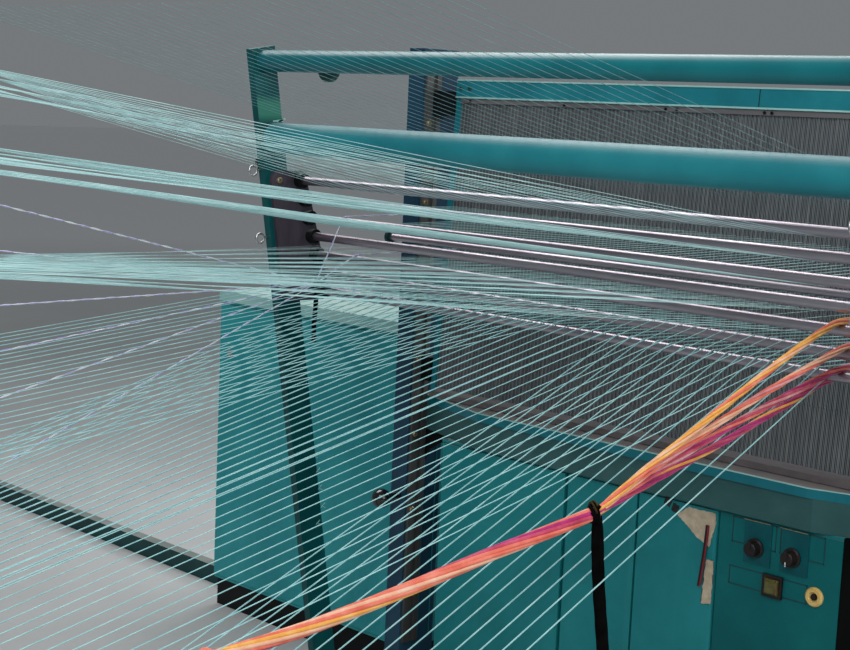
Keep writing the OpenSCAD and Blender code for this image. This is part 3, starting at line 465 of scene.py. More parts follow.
# Lilac and white polyester of the tied sheaf
lilac_fibre = finish("dyed_polyester_lilac", ("#958ad0", "#afa5e2", "#cbc3ee"), (0.5, 0.7), patch=0.02,
                     grain=0.002, sheen=0.3)
white_fibre = finish("spun_polyester_white", ("#cfd8e4", "#dde4ee", "#ebf0f5"), (0.5, 0.66), patch=0.03,
                     sheen=0.3)
# Woven black ribbon, matt
ribbon_cloth = finish("woven_ribbon_black", ("#030304", "#060607", "#0b0b0c"), (0.8, 0.95), patch=0.02,
                      grain=0.0012, depth=0.0001, gleam=0.05)
# Loose brown thread wound round the ribbon's knot
olive_thread = finish("spun_thread_olive_brown", ("#2b2410", "#3b3218", "#4d4322"), (0.6, 0.8), patch=0.01,
                      grain=0.0012, depth=0.0001, gleam=0.1)
# Crepe masking tape, torn, gone grey with handling
crepe_tape = finish("crepe_tape_beige", ("#a89a83", "#bbab93", "#cbbca4"), (0.6, 0.8), patch=0.02,
                    grain=0.0015, depth=0.0001)
# Black cloth tape, matt, in two small bits on the door
black_tape = finish("cloth_tape_black", ("#131212", "#1b1919", "#252222"), (0.6, 0.8), patch=0.01,
                    grain=0.0015, depth=0.0001)
# PVC sheath of thin flex, black and red, with a low gloss
pvc_black = finish("pvc_sheath_black", ("#0d0c0e", "#141216", "#1c191e"), (0.35, 0.5), grain=0.002)
pvc_red = finish("pvc_sheath_red", ("#5e1520", "#7a1c2a", "#8e2a36"), (0.35, 0.5), grain=0.002)


def dress(material, *names):
    """Gives CAD nodes their material."""
    for name in names:
        data = nodes[name].data
        data.materials.clear()
        data.materials.append(material)


dress(tube_enamel, "top_guide_tube")
dress(painted_light_tube_enamel, "lower_guide_tube")
dress(arm_enamel, "left_side_arm", "right_side_arm")
dress(reed_enamel, "reed_top_rail", "reed_side_strips")
dress(shaded_dusty_beam_enamel, "cross_beam")
dress(door_enamel, "cabinet_case", "left_door", "centre_door", "right_door")
dress(box_enamel, "box_case", "box_door")
dress(panel_enamel, "control_panel")
dress(dark_enamel, "base_sills", "rear_rod_brackets", "floor_rail")
dress(linted_enamel, "reed_bottom_rail")
dress(pale_enamel_and_highlight, "box_lid")
dress(navy_enamel, "left_post", "right_post", "post_caps")
dress(disc_green, "stop_disc")
# The beam's gussets are black as painted shade, under the beam's ends
dress(black_powder_and_shade, "reed_shoes", "beam_gussets", "cabinet_plinth", "box_plinth", "rod_sockets")
dress(ground_steel, "rear_rod", *["divider_rod_%d" % k for k in range(1, 8)])
dress(rolled_steel, "left_rod_plate", "right_rod_plate")
dress(guide_steel, "left_slide_rail", "right_slide_rail")
dress(reed_steel, "reed_wires")
dress(satin_aluminium, "reed_baulks")
dress(zinc_plate, "yarn_guides", "box_latch")
dress(black_abs, "left_switch_knob", "right_switch_knob", "button_bezel", "left_clamp_knob",
      "right_clamp_knob")
dress(phenolic, "ball_knob")
dress(amber_acrylic, "push_button")
dress(cream_resin, "ring_socket")
dress(blue_plate, "switch_plates")

threads_tree = thread_tree()
knots_tree = knot_tree()
screws_tree = screw_tree()


# Routes
def metres(route):
    """A route that the solids give in millimetres, in metres."""
    return [Vector(p) * mm for p in route]


def smooth_route(route, steps=6):
    """More points on a route, on one smooth curve through its own points."""
    path = [route[0]]
    for i in range(len(route) - 1):
        before = route[max(i - 1, 0)]
        a, b = route[i], route[i + 1]
        after = route[min(i + 2, len(route) - 1)]
        for s in range(1, steps + 1):
            t = s / steps
            path.append(0.5 * (2 * a + (b - before) * t + (2 * before - 5 * a + 4 * b - after) * t * t
                               + (3 * a - before - 3 * b + after) * t ** 3))
    return path


def frames_along(path):
    """A side and an up direction at each point, that don't twist."""
    ways = [(path[min(i + 1, len(path) - 1)] - path[max(i - 1, 0)]).normalized() for i in range(len(path))]
    side = ways[0].orthogonal()
    sides = []
    for way in ways:
        side = (side - way * side.dot(way)).normalized()
        sides.append((side, way.cross(side)))
    return sides


def plied(path, count, lay, pitch, phase=0.0):
    """Routes of the plies that wind round a path: lay is their distance from it."""
    sides = frames_along(path)
    routes = [[] for _ in range(count)]
    run = 0.0
    for i, point in enumerate(path):
        if i:
            run += (point - path[i - 1]).length
        for j in range(count):
            angle = 2 * math.pi * (run / pitch + j / count) + phase
            side, up = sides[i]
            routes[j].append(point + lay * (math.cos(angle) * side + math.sin(angle) * up))
    return routes


def joined(meshes, name):
    """One mesh of several, their materials kept."""
    objects = []
    for mesh in meshes:
        holder = bpy.data.objects.new(name, mesh)
        bpy.context.scene.collection.objects.link(holder)
        objects.append(holder)
    with bpy.context.temp_override(active_object=objects[0], object=objects[0],
                                   selected_objects=objects, selected_editable_objects=objects):
        bpy.ops.object.join()
    mesh = objects[0].data
    bpy.data.objects.remove(objects[0])
    return mesh


def plies_mesh(name, path, lay, ply_d, pitch, colours, phase=0.0, sides=8):
    """A plied yarn: one ply for each colour."""
    routes = plied(path, len(colours), lay, pitch, phase)
    return joined([
        grown_mesh(lines_object(name, [route]), threads_tree, Diameter=ply_d, Sides=sides, Material=colour)
        for route, colour in zip(routes, colours)], name)


# Cords
# The gathered fancy yarns: their routes are those of the solids
bundle_route = metres([
    (406, -1520, 715), (456, -1400, 745), (506, -1270, 785), (556, -1140, 830), (596, -1045, 862),
    (626, -965, 888)])
strand_routes = [metres(r) for r in (
    [(626, -965, 888), (634, -870, 938), (643, -760, 990), (650, -620, 1053), (654, -500, 1102),
     (656, -400, 1137), (657, -353, 1146.8), (657, -250, 1147.5)],
    [(626, -965, 888), (632, -870, 930), (639, -760, 972), (647, -620, 1022), (656, -500, 1060),
     (663, -400, 1089), (665, -339, 1103.2), (665, -250, 1104)],
    [(626, -965, 888), (630, -870, 922), (634, -760, 955), (639, -620, 994), (643, -500, 1023),
     (647, -400, 1047), (649, -325, 1059.7), (649, -250, 1060.5)],
    [(626, -965, 888), (624, -870, 908), (620, -760, 930), (616, -620, 958), (614, -500, 986),
     (614, -400, 1010), (614, -325, 1030.2), (614, -250, 1036)])]
gathering = bundle_route[-1]


def knot_mesh(name, centre, size, turns, thickness, material, seed):
    """A knot: a thread wound round one centre, each turn another way."""
    draw = random.Random(seed)
    route = []
    steps = 12
    for i in range(turns * steps + 1):
        angle = 2 * math.pi * i / steps
        if i % steps == 0:
            axis = Vector([draw.uniform(-1, 1) for _ in range(3)]).normalized()
            side = axis.orthogonal().normalized()
        reach = size * (0.8 + 0.2 * math.sin(3.1 * angle))
        route.append(Vector(centre) + reach * (math.cos(angle) * side + math.sin(angle) * axis.cross(side)))
    return grown_mesh(lines_object(name, [smooth_route(route, 2)]), threads_tree,
                      Diameter=thickness, Sides=7, Material=material)


rope_colours = [crimson_fibre, coral_fibre, coral_fibre, peach_fibre, coral_fibre, orange_fibre,
                peach_fibre, coral_fibre, magenta_fibre]
bundle_path = smooth_route(bundle_route)
bundle = piece("gathered_yarn_rope", plies_mesh(
    "rope", bundle_path, 0.0075, 0.0070, 0.75, rope_colours, phase=2.0))
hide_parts("yarn_bundle")
rope_knot = piece("rope_end_knot", knot_mesh(
    "rope_end", bundle_path[0] + Vector((-0.004, -0.008, -0.002)), 0.014, 7, 0.008, coral_fibre, 3))

strand_colours = [
    [orange_fibre, orange_fibre, peach_fibre, orange_fibre, coral_fibre],
    [peach_fibre, coral_fibre, pink_fibre, coral_fibre, peach_fibre],
    [crimson_fibre, pink_fibre, crimson_fibre, coral_fibre, magenta_fibre],
    [magenta_fibre, magenta_fibre, crimson_fibre, magenta_fibre, orange_fibre]]
for i, (route, colours) in enumerate(zip(strand_routes, strand_colours)):
    path = smooth_route(route)
    strand = piece("yarn_strand_%d" % (i + 1), plies_mesh(
        "strand", path, 0.0041, 0.0046, 0.30, colours, phase=i))
    knot = piece("strand_knot_%d" % (i + 1), knot_mesh(
        "strand_knot", path[-1], 0.005, 5, 0.003, colours[0], 10 + i))


def ribbon_mesh(name, path, width, thickness, neck):
    """A flat ribbon along a hanging path: it faces the creel's right wing, sways a little, and
    is gathered to a neck, a share of its width, where it is tied."""
    # Corners of its section, in halves of its width and thickness: it bulges a little
    section = ((-1, -1), (-0.5, -1.6), (0.5, -1.6), (1, -1), (1, 1), (0.5, 0.4), (-0.5, 0.4), (-1, 1))
    shape = bmesh.new()
    broad = Vector((1, 1, 0)).normalized()
    rings = []
    for i, point in enumerate(path):
        way = (path[min(i + 1, len(path) - 1)] - path[max(i - 1, 0)]).normalized()
        across = (broad - way * broad.dot(way)).normalized()
        through = across.cross(way)
        across = (across + 0.18 * math.sin(i * 0.5) * through).normalized()
        through = across.cross(way).normalized()
        w = width / 2 * min(1.0, neck + (1 - neck) * i / 5) * (1.0 - 0.06 * math.sin(i * 0.9) ** 2)
        rings.append([shape.verts.new(point + across * w * a + through * thickness / 2 * b)
                      for a, b in section])
    for a, b in zip(rings, rings[1:]):
        for j in range(8):
            shape.faces.new((a[j], a[(j + 1) % 8], b[(j + 1) % 8], b[j]))
    shape.faces.new(rings[0])
    shape.faces.new(reversed(rings[-1]))
    return from_bmesh(name, shape, smooth=True)


def wrap_mesh(name, centre, way, radius, turns, width, material):
    """Turns of ribbon round a gathered cord, each over the last."""
    way = Vector(way).normalized()
    side = way.orthogonal().normalized()
    up = way.cross(side)
    route = []
    steps = 16
    for i in range(turns * steps + 1):
        angle = 2 * math.pi * i / steps
        along = (i / steps - turns / 2) * width * 0.6 + 0.002 * math.sin(angle * 1.7)
        reach = radius + 0.0012 * (i / steps)
        route.append(Vector(centre) + way * along + reach * (math.cos(angle) * side + math.sin(angle) * up))
    return grown_mesh(lines_object(name, [route]), threads_tree, Diameter=width * 0.8, Sides=8,
                      Material=material)


ribbon_route = smooth_route(metres([
    (626, -964, 882), (626, -961, 855), (626, -957, 820), (626, -950, 770), (627, -942, 720),
    (630, -936, 670), (633, -931, 620)]), 4)
ribbon = piece("tie_ribbon", ribbon_mesh("ribbon", ribbon_route, 0.020, 0.0022, 0.75),
               material=ribbon_cloth)
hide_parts("tie_ribbons")
rope_way = bundle_route[-1] - bundle_route[-2]
ribbon_wrap = piece("tie_ribbon_turns", joined([
    wrap_mesh("wrap", gathering - Vector((0.002, 0.006, 0.002)), rope_way, 0.0105, 3, 0.0075, ribbon_cloth),
    wrap_mesh("wrap", gathering - Vector((0.002, 0.006, -0.003)), rope_way, 0.0115, 2, 0.004, olive_thread),
], "wrap"))

# The lilac sheaf, tied with a black ribbon in front of the rods' left end
lilac_knot = Vector((-0.654, -0.4338, 1.0745))
lilac_left = metres([
    (-686, -1242, 1265), (-679, -1245, 1174.2), (-692, -1236.4, 1062.5), (-674, -1245.8, 972.4),
    (-684, -1239.1, 874.6), (-672, -1244.5, 736.4)])
lilac_right = [metres(r) for r in (
    [(-614.9, -390.6, 1225.7), (-614.9, -386.1, 1229.8), (-614.9, -380.4, 1231.3), (-614.9, 60, 1238)],
    [(-604, -358.4, 1142.9), (-604, -352.8, 1144.1), (-604, 60, 1150)],
    [(-593.1, -325.2, 1057.2), (-593.1, 60, 1078)])]
sheaf_knot = piece("sheaf_knot", joined([
    knot_mesh("knot", lilac_knot, 0.010, 6, 0.006, ribbon_cloth, 21),
    knot_mesh("knot", lilac_knot, 0.0085, 5, 0.004, lilac_fibre, 22)], "sheaf_knot"))
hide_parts("lilac_yarns")
spacing = 0.03
for i, route in enumerate([[end] for end in lilac_left] + lilac_right):
    path = [lilac_knot] + route
    fine = []
    for a, b in zip(path, path[1:]):
        steps = max(1, round((b - a).length / spacing))
        fine += [a.lerp(b, s / steps) for s in range(steps)]
    fine.append(path[-1])
    yarn = piece("sheaf_yarn_%d" % (i + 1), plies_mesh(
        "yarn", fine, 0.0013, 0.0021, 0.06, [lilac_fibre, white_fibre, white_fibre], phase=i, sides=6))
    end = piece("sheaf_end_%d" % (i + 1), knot_mesh("end", fine[-1], 0.0022, 4, 0.0014, lilac_fibre, 30 + i))

sheaf_ribbon_route = smooth_route(metres([
    (-652, -434, 1064.5), (-646, -436, 1042), (-644, -439, 1012), (-644, -441, 977), (-644, -440, 942)]), 5)
sheaf_ribbon = piece("sheaf_ribbon", ribbon_mesh("sheaf_ribbon", sheaf_ribbon_route, 0.011, 0.0016, 0.5),
                     material=ribbon_cloth)


# Warp: a thread in every third gap of the reed
thread_count = 40
first_thread = -reed_in + gap_pitch * 1.5
thread_pitch = 3 * gap_pitch
# The creel's guides stand on two wings, split at wing_split, along a slanted line over the floor.
# The top sheet's guides stand straight across, and it comes down by top_slope
wing_split = 0.122
creel_y = -1.637
creel_slant = -0.573
top_creel_y = -1.330
top_slope = -0.225
# Behind the reed the sheets end at rear_y. They close up to rear_share of the rods' spacing: one
# from a rod at middle_z ends at rear_z, and those below sheet 3 end rear_drop lower
rear_y = 0.070
rear_z = 1.178
middle_z = 1.175
rear_share = 0.8
rear_drop = 0.026
# Heights of each sheet's creel guides: the left wing's first and last, then the right wing's
creel_guides = {
    1: (1.504, 1.499, 1.498, 1.495), 2: (1.364, 1.396, 1.397, 1.419), 3: (1.330, 1.371, 1.373, 1.401),
    4: (1.168, 1.243, 1.248, 1.300), 5: (1.157, 1.229, 1.230, 1.292), 6: (1.014, 0.959, 0.808, 0.764),
    7: (0.800, 0.769, 0.496, 0.318)}
# Share of a stagger from one guide to the next, which lays them in four even layers
stagger = 0.25
# How far the guides of each sheet are staggered, and how thick its threads and the top sheet's
# are drawn
creel_scatter = {1: 0.018, 2: 0.011, 3: 0.003, 4: 0.006, 5: 0.004, 6: 0.002, 7: 0.002}
thread_d = {1: 0.0009, 2: 0.0010, 3: 0.0016, 4: 0.0011, 5: 0.0012, 6: 0.0016, 7: 0.0024}
top_d = 0.0008


def thread_places(step=1):
    """Places along X of the threads."""
    return [first_thread + thread_pitch * i for i in range(0, thread_count, step)]


def creel_z(k, x):
    """Height of the creel guide of sheet k's thread at x."""
    a, b, c, d = creel_guides[k]
    last = first_thread + thread_pitch * (thread_count - 1)
    if x < wing_split:
        return a + (b - a) * (x - first_thread) / (wing_split - first_thread)
    return c + (d - c) * (x - wing_split) / (last - wing_split)


def bend_over(y, z, radius, side, slope_in, slope_out, steps=4):
    """Points of a thread round a rod or tube, from one slope to the next."""
    a, b = math.atan(slope_in), math.atan(slope_out)
    points = []
    for s in range(steps + 1):
        angle = a + (b - a) * s / steps
        points.append((y - side * radius * math.sin(angle), z + side * radius * math.cos(angle)))
    return points


def sheet_routes(k):
    """The threads of one warp sheet, bent round rod k on the way to the reed."""
    y, z = rod_at(k)
    side = 1 if k > 5 else -1
    reach = rod_d / 2 + clearance + thread_d[k] / 2
    end_z = rear_z + rear_share * (z - middle_z) - (rear_drop if k > 3 else 0)
    slope_out = (end_z - z - side * reach) / (rear_y - y)
    routes = []
    for i, x in enumerate(thread_places(2 if k == 5 else 1)):
        front = creel_y + creel_slant * x
        start_z = creel_z(k, x) + (2 * (i * stagger % 1) - 1) * creel_scatter[k]
        slope = (z + side * rod_d / 2 - start_z) / (y - front)
        start = Vector((x + dice.uniform(-0.002, 0.002), front, start_z))
        bend = [Vector((x, p[0], p[1])) for p in bend_over(y, z, reach, side, slope, slope_out)]
        routes.append([start] + bend + [Vector((x, rear_y, end_z))])
    return routes


def top_routes():
    """The threads that come down between the two guide tubes, over the lower one."""
    y, z = lower_tube_at
    over = z + (lower_tube_d / 2 + clearance + top_d / 2) * math.sqrt(1 + top_slope ** 2)
    return [[Vector((x, end, over + top_slope * (end - y))) for end in (top_creel_y, y, rear_y)]
            for x in thread_places()]


def threads_mesh(name, routes, diameter, fibre=warp_fibre):
    """A sheet of threads with a knot at each far end."""
    threads = grown_mesh(lines_object(name, routes), threads_tree, Diameter=diameter, Sides=6,
                         Material=fibre)
    ends = [r[0] for r in routes] + [r[-1] for r in routes]
    knots = grown_mesh(points_object(name, ends), knots_tree, Size=diameter, Material=fibre)
    return joined([threads, knots], name)


def warp_piece(name, node, meshes):
    """The threads of several sheets as one piece, in place of the plain node."""
    made = piece(name, joined(meshes, name))
    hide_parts(node)


def sheets(*numbers):
    """The meshes of several sheets, the two lowest in a greener fibre."""
    return [threads_mesh("sheet", sheet_routes(k), thread_d[k], lower_fibre if k > 5 else warp_fibre)
            for k in numbers]


warp_piece("warp_sheets_upper", "upper_warp",
           [threads_mesh("top", top_routes(), top_d, shaded_fibre)] + sheets(1, 2))
warp_piece("warp_sheets_middle", "middle_warp", sheets(3, 4, 5))
warp_piece("warp_sheets_lower", "lower_warp", sheets(6, 7))


# Reed
def wires_between(name, front, back):
    """The two finer wires in each gap of the reed, or their edges, from front to back."""
    half_d, foot, head = 0.0006, 0.0142, 0.7415
    shape = bmesh.new()
    for i in range(gap_count):
        middle = -reed_in + gap_pitch * (i + 0.5)
        for x in (middle - gap_pitch / 6, middle + gap_pitch / 6):
            slab(shape, (x - half_d, front, foot), (x + half_d, back, head))
    return from_bmesh(name, shape, place=lean)


# The front edges of the dark wires are in the bright polished wire steel, without the painted shade
piece("reed_fine_wires", wires_between("fine_wires", -0.0030, 0.0034), body="reed",
      material=shaded_brown_wire)
piece("reed_wire_edges", wires_between("wire_edges", -0.0033, -0.0030), body="reed",
      material=reed_steel)


def reed_binding():
    """A wire coil that binds the reed's wires at one height."""
    route = []
    first, last, height, steps = -0.240, 0.600, 0.151, 8
    turns = round((last - first) / gap_pitch)
    for i in range(turns * steps + 1):
        angle = 2 * math.pi * i / steps
        x = first + (last - first) * i / (turns * steps)
        route.append(lean @ Vector((x, -0.0046 * math.cos(angle), height + 0.0030 * math.sin(angle))))
    return grown_mesh(lines_object("binding", [route]), threads_tree, Diameter=0.0011, Sides=5,
                      Material=satin_aluminium)


piece("reed_binding_wire", reed_binding(), body="reed")


def reed_rail_highlights():
    """Painted highlights: pale strips along the two edges of the reed's top rail."""
    shape = bmesh.new()
    for low, high in ((0.7425, 0.7465), (0.7845, 0.7879)):
        slab(shape, (-reed_half, -0.0136, low), (reed_half, -0.0121, high), 0.0005)
    return from_bmesh("reed_rail_highlights", shape, place=lean)


def rail_joint():
    """The butt joint in the reed's top rail."""
    shape = bmesh.new()
    slab(shape, (0.2088, -0.0126, 0.7470), (0.2104, -0.0119, 0.7840))
    return from_bmesh("rail_joint", shape, place=lean)


piece("reed_rail_highlight_strips", reed_rail_highlights(), body="reed", material=pale_enamel_and_highlight)
piece("reed_rail_joint", rail_joint(), body="reed", material=black_powder_and_shade)
facing_front = (math.pi / 2 + reed_tilt, 0, 0)
rail_screws = [lean @ Vector((x, -0.0135, 0.766)) for x in (-0.652, -0.622, 0.622, 0.652)]
piece("reed_rail_screws", grown_mesh(
    points_object("rail_screws", rail_screws), screws_tree, Diameter=0.010, Height=0.003,
    Turn=facing_front, Material=disc_green), body="reed")
baulk_screws = [lean @ Vector((x, -0.0095, 0.736)) for x in (-0.62, -0.32, -0.03, 0.00, 0.224, 0.242, 0.62)]
piece("reed_baulk_screws", grown_mesh(
    points_object("baulk_screws", baulk_screws), screws_tree, Diameter=0.007, Height=0.002,
    Turn=facing_front, Material=black_powder_and_shade), body="reed")


# Posts, arms and beam
def post_screws():
    """Yellow-passivated cap screws on the slide rails and the rod plates."""
    rail_face, rail_y, plate_face, plate_y, plate_rake = 0.699, -0.046, 0.752, -0.244, -0.1727
    heights = [0.285 + 0.194 * i for i in range(7)] + [1.580]
    meshes = []
    for side in (-1, 1):
        places = [(side * rail_face, rail_y, z) for z in heights]
        places += [(side * plate_face, plate_y + plate_rake * z, z) for z in (rod_at(1)[1], rod_at(7)[1])]
        meshes.append(grown_mesh(points_object("post_screws", places), screws_tree, Diameter=0.014,
                                 Height=0.006, Turn=(0, -side * math.pi / 2, 0), Material=brass_plate))
    return joined(meshes, "post_screws")


screws = piece("post_cap_screws", post_screws())
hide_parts("frame_screws")


def weld_beads():
    """The painted weld round each end of the two guide tubes."""
    rings = []
    for (y, z), radius in ((top_tube_at, 0.0245), (lower_tube_at, 0.0352)):
        for x in (arm_face + 0.0012, -arm_face - 0.0012):
            rings.append([Vector((x, y + radius * math.cos(a), z + radius * math.sin(a)))
                          for a in [math.pi * i / 20 for i in range(41)]])
    return grown_mesh(lines_object("welds", rings), threads_tree, Diameter=0.0045, Sides=8,
                      Material=arm_enamel)


piece("tube_welds", weld_beads())


def mark_on_arm(shape, y, z, length, width, turn):
    """A flat chip in the paint of the left arm's inner face."""
    bar = bmesh.ops.create_cube(shape, size=1.0)["verts"]
    bmesh.ops.scale(shape, vec=(0.0005, length, width), verts=bar)
    bmesh.ops.rotate(shape, cent=(0, 0, 0), matrix=Matrix.Rotation(turn, 3, "X"), verts=bar)
    bmesh.ops.translate(shape, vec=(arm_face + 0.0003, y, z), verts=bar)


def arm_chips():
    """Worn places on the left arm: a row of hooked scratches and a rubbed patch by the tube."""
    shape = bmesh.new()
    for y, z in ((-0.3216, 0.6407), (-0.3102, 0.6020), (-0.3016, 0.5585), (-0.2897, 0.5117),
                 (-0.3039, 0.4711)):
        mark_on_arm(shape, y, z, 0.016, 0.0022, 0.7)
        mark_on_arm(shape, y + 0.004, z - 0.006, 0.011, 0.0018, -0.5)
    mark_on_arm(shape, -0.4710, 1.4405, 0.030, 0.0060, 0.12)
    mark_on_arm(shape, -0.4600, 1.4430, 0.022, 0.0040, 0.35)
    return from_bmesh("arm_chips", shape)


piece("arm_paint_chips", arm_chips(), material=pale_enamel_and_highlight)


def post_strips():
    """Two pale edge strips on each post's inner face, below the beam."""
    shape = bmesh.new()
    for side in (-1, 1):
        for y in (0.002, 0.044):
            faces = sorted((side * 0.7068, side * 0.7055))
            slab(shape, (faces[0], y - 0.0012, 0.130), (faces[1], y + 0.0012, 0.672), 0.0003)
    return from_bmesh("post_strips", shape)


piece("post_edge_strips", post_strips(), material=reed_enamel)


def lip_band(name, low, high, proud):
    """A band along the beam's front between two heights, which follows the beam's set-back ends."""
    half, flat_half, flat_y, end_y = 0.700, 0.452, -0.0830, -0.0047
    line = ((-half, end_y), (-flat_half, flat_y), (flat_half, flat_y), (half, end_y))
    shape = bmesh.new()
    rings = []
    for x, y in line:
        corners = ((y - proud, low), (y - proud, high), (y + 0.0040, high), (y + 0.0040, low))
        rings.append([shape.verts.new((x, py, pz)) for py, pz in corners])
    for a, b in zip(rings, rings[1:]):
        for j in range(4):
            shape.faces.new((a[j], a[(j + 1) % 4], b[(j + 1) % 4], b[j]))
    shape.faces.new(rings[0])
    shape.faces.new(reversed(rings[-1]))
    return from_bmesh(name, shape)


piece("beam_lip_face", lip_band("lip_face", 0.7500, 0.7692, 0.0008),
      material=lip_enamel)
# A painted highlight: a pale strip along the top edge of the beam's lip
piece("beam_lip_highlight", lip_band("lip_top_highlight", 0.7692, 0.7712, 0.0009),
      material=pale_enamel_and_highlight)


def painted_side_shade():
    """A near-black sheet of painted shade on the cabinet's right side, which lies in shadow."""
    shape = bmesh.new()
    slab(shape, (0.5328, -0.0640, 0.0600), (0.5342, 0.3880, 0.6820), 0.0004)
    return from_bmesh("painted_side_shade", shape)


piece("cabinet_painted_shade_sheet", painted_side_shade(), material=painted_shade_black)


# Control panel
def frame_line(shape, x0, z0, x1, z1, width=0.0022):
    """A printed rectangle, drawn as four thin bars on the panel."""
    y0, y1 = door_front - 0.0005, door_front
    for low, high in (((x0, y0, z0), (x1, y1, z0 + width)), ((x0, y0, z1 - width), (x1, y1, z1)),
                      ((x0, y0, z0), (x0 + width, y1, z1)), ((x1 - width, y0, z0), (x1, y1, z1))):
        slab(shape, low, high)


def panel_lines():
    """The printed frames round the switches and the button."""
    shape = bmesh.new()
    frame_line(shape, 0.2740, 0.6190, 0.3810, 0.6740)
    frame_line(shape, 0.3900, 0.6190, 0.4940, 0.6740)
    frame_line(shape, 0.2730, 0.5290, 0.4610, 0.5690)
    return from_bmesh("panel_lines", shape)


piece("panel_printed_lines", panel_lines(), material=print_ink)


def plate_edges():
    """The bare upper edges of the two switch plates, which catch the light."""
    shape = bmesh.new()
    for x in switch_xs:
        slab(shape, (x - 0.0320, door_front - 0.0026, 0.6728), (x + 0.0320, door_front, 0.6745), 0.0004)
    return from_bmesh("plate_edges", shape)


piece("switch_plate_edges", plate_edges(), material=brass_plate)


def knob_mark():
    """The white line on the right switch knob's pointer, which points down."""
    shape = bmesh.new()
    slab(shape, (-0.0011, -0.0279, 0.0055), (0.0011, -0.0272, 0.0150), 0.0003)
    at_knob = Matrix.Translation((switch_xs[1], door_front, switch_z)) @ Matrix.Rotation(math.pi, 4, "Y")
    return from_bmesh("right_knob_mark", shape, place=at_knob)


piece("right_knob_mark", knob_mark(), body="right_switch", material=white_ink)


def ring_core():
    """The dark contact in the middle of the cream ring."""
    shape = bmesh.new()
    bmesh.ops.create_cone(shape, cap_ends=True, segments=24, radius1=0.0078, radius2=0.006, depth=0.004)
    in_ring = Matrix.Translation((ring_at[0], door_front - 0.0046, ring_at[1]))
    return from_bmesh("ring_core", shape, place=in_ring @ Matrix.Rotation(math.pi / 2, 4, "X"))


piece("ring_contact", ring_core(), material=black_abs)


def button_lens():
    """A crowned lens over the push button's front."""
    half, crown = 0.0155, 0.0022
    shape = bmesh.new()
    bmesh.ops.create_grid(shape, x_segments=12, y_segments=12, size=half)
    for v in shape.verts:
        edge = max(abs(v.co.x), abs(v.co.y)) / half
        v.co.z = crown * (1 - edge ** 4)
    on_button = Matrix.Translation((button_at[0], door_front - 0.0091, button_at[1]))
    return from_bmesh("button_lens", shape, smooth=True,
                      place=on_button @ Matrix.Rotation(math.pi / 2, 4, "X"))


lens = piece("button_lens", button_lens(), body="button", material=amber_acrylic)
solid = lens.modifiers.new("wall", "SOLIDIFY")
solid.thickness = 0.0008
solid.offset = -1


# Tape and flex on the right door
def tape_mesh(name, outline, seed):
    """A torn piece of tape on the door, given by its outline in X and Z, its edge made ragged."""
    draw = random.Random(seed)
    corners = []
    for i, a in enumerate(outline):
        b = outline[(i + 1) % len(outline)]
        steps = max(2, round((Vector(b) - Vector(a)).length / 0.004))
        for s in range(steps):
            p = Vector(a).lerp(Vector(b), s / steps)
            corners.append((p.x + draw.uniform(-0.0012, 0.0012), p.y + draw.uniform(-0.0012, 0.0012)))
    shape = bmesh.new()
    face = shape.faces.new([shape.verts.new((x, door_front - 0.0008, z)) for x, z in corners])
    bmesh.ops.triangulate(shape, faces=[face])
    grown = bmesh.ops.extrude_face_region(shape, geom=list(shape.faces))
    bmesh.ops.translate(shape, vec=(0, 0.0006, 0),
                        verts=[v for v in grown["geom"] if isinstance(v, bmesh.types.BMVert)])
    return from_bmesh(name, shape)


upper_outline = (
    (0.160, 0.668), (0.230, 0.668), (0.2335, 0.648), (0.2195, 0.593), (0.192, 0.605), (0.132, 0.646))
lower_outline = ((0.214, 0.566), (0.2335, 0.567), (0.2335, 0.472), (0.208, 0.468))
piece("upper_tape", tape_mesh("upper_tape", upper_outline, 41), body="right_door", material=crepe_tape)
piece("lower_tape", tape_mesh("lower_tape", lower_outline, 42), body="right_door", material=crepe_tape)
bit_outline = ((-0.010, -0.006), (-0.005, 0.010), (0.011, 0.006), (0.005, -0.012))
for i, (x, z) in enumerate(((0.1060, 0.6690), (0.1260, 0.6590))):
    bit = tape_mesh("door_tape", [(x + a, z + b) for a, b in bit_outline], 43 + i)
    piece("door_tape_%d" % (i + 1), bit, body="right_door", material=black_tape)
flex_route = smooth_route([Vector(p) for p in (
    (0.2115, door_front - 0.0032, 0.640), (0.2110, door_front - 0.0045, 0.612),
    (0.2095, door_front - 0.0055, 0.585), (0.2065, door_front - 0.0055, 0.555),
    (0.2025, door_front - 0.0045, 0.525), (0.1990, door_front - 0.003, 0.505))], 5)
for i, (sheath, shift) in enumerate(((pvc_black, 0.0), (pvc_red, 0.0046))):
    flex_line = lines_object("flex", [[p + Vector((shift, 0, 0)) for p in flex_route]])
    piece("taped_flex_%d" % (i + 1), grown_mesh(
        flex_line, threads_tree, Diameter=0.0044, Sides=8, Material=sheath), body="right_door")


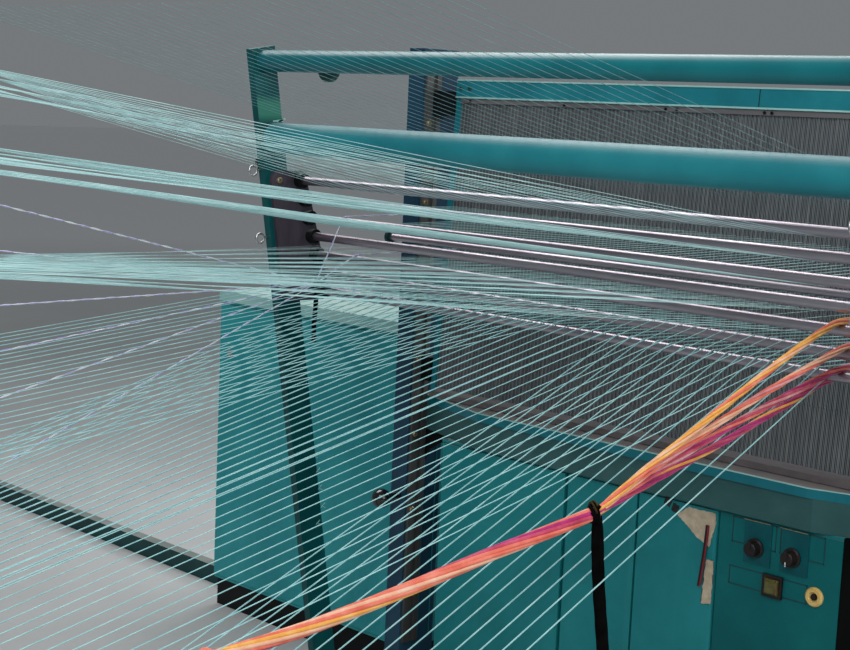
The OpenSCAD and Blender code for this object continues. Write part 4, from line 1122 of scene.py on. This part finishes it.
# Floor and light
def floor_paint():
    """A pale floor, with painted light far from the object: paler there, where less light reaches it."""
    made = finish("studio_floor", ("#a9aaaa", "#b2b3b3", "#bcbdbc"), (0.7, 0.8), patch=1.5, gleam=0.2)
    tree = made.node_tree
    shader = next(n for n in tree.nodes if n.type == "BSDF_PRINCIPLED")
    near = shader.inputs["Base Color"].links[0].from_socket
    place = add(tree, "ShaderNodeTexCoord").outputs["Object"]
    reach = add(tree, "ShaderNodeVectorMath", {0: place}, operation="LENGTH").outputs["Value"]
    far = add(tree, "ShaderNodeMapRange", {"Value": reach, "From Min": 3.5, "From Max": 14.0})
    tree.links.new(mixed(tree, far.outputs[0], near, srgb("#f4f4f4")), shader.inputs["Base Color"])
    return made


def studio():
    """A pale floor, an even sky and four large soft lights."""
    shape = bmesh.new()
    bmesh.ops.create_grid(shape, x_segments=1, y_segments=1, size=60.0)
    floor = bpy.data.objects.new("studio_floor", from_bmesh("studio_floor", shape))
    bpy.context.scene.collection.objects.link(floor)
    floor.data.materials.append(floor_paint())
    world = bpy.data.worlds.new("studio_sky")
    world.use_nodes = True
    bpy.context.scene.world = world
    sky = world.node_tree.nodes["Background"]
    sky.inputs["Color"].default_value = srgb("#dfe6ea")
    sky.inputs["Strength"].default_value = 0.24
    bpy.context.scene.view_settings.view_transform = "Standard"
    for name, place, aim, size, power in (
            ("key", (1.6, -3.6, 3.6), (0, 0, 0.8), (2.6, 2.6), 95),
            ("fill", (4.4, -1.2, 2.6), (0.2, 0, 0.7), (2.4, 2.4), 60),
            ("overhead", (-2.4, 0.5, 4.2), (0.1, -0.4, 1.2), (4.2, 1.8), 120),
            ("back", (0.6, 3.4, 3.0), (0.0, -0.2, 1.2), (4.0, 1.4), 110)):
        data = bpy.data.lights.new(name, "AREA")
        data.shape = "RECTANGLE"
        data.size, data.size_y = size
        data.energy = power
        lamp = bpy.data.objects.new(name, data)
        lamp.location = place
        lamp.rotation_mode = "QUATERNION"
        lamp.rotation_quaternion = (Vector(aim) - Vector(place)).to_track_quat("-Z", "Y")
        bpy.context.scene.collection.objects.link(lamp)


studio()
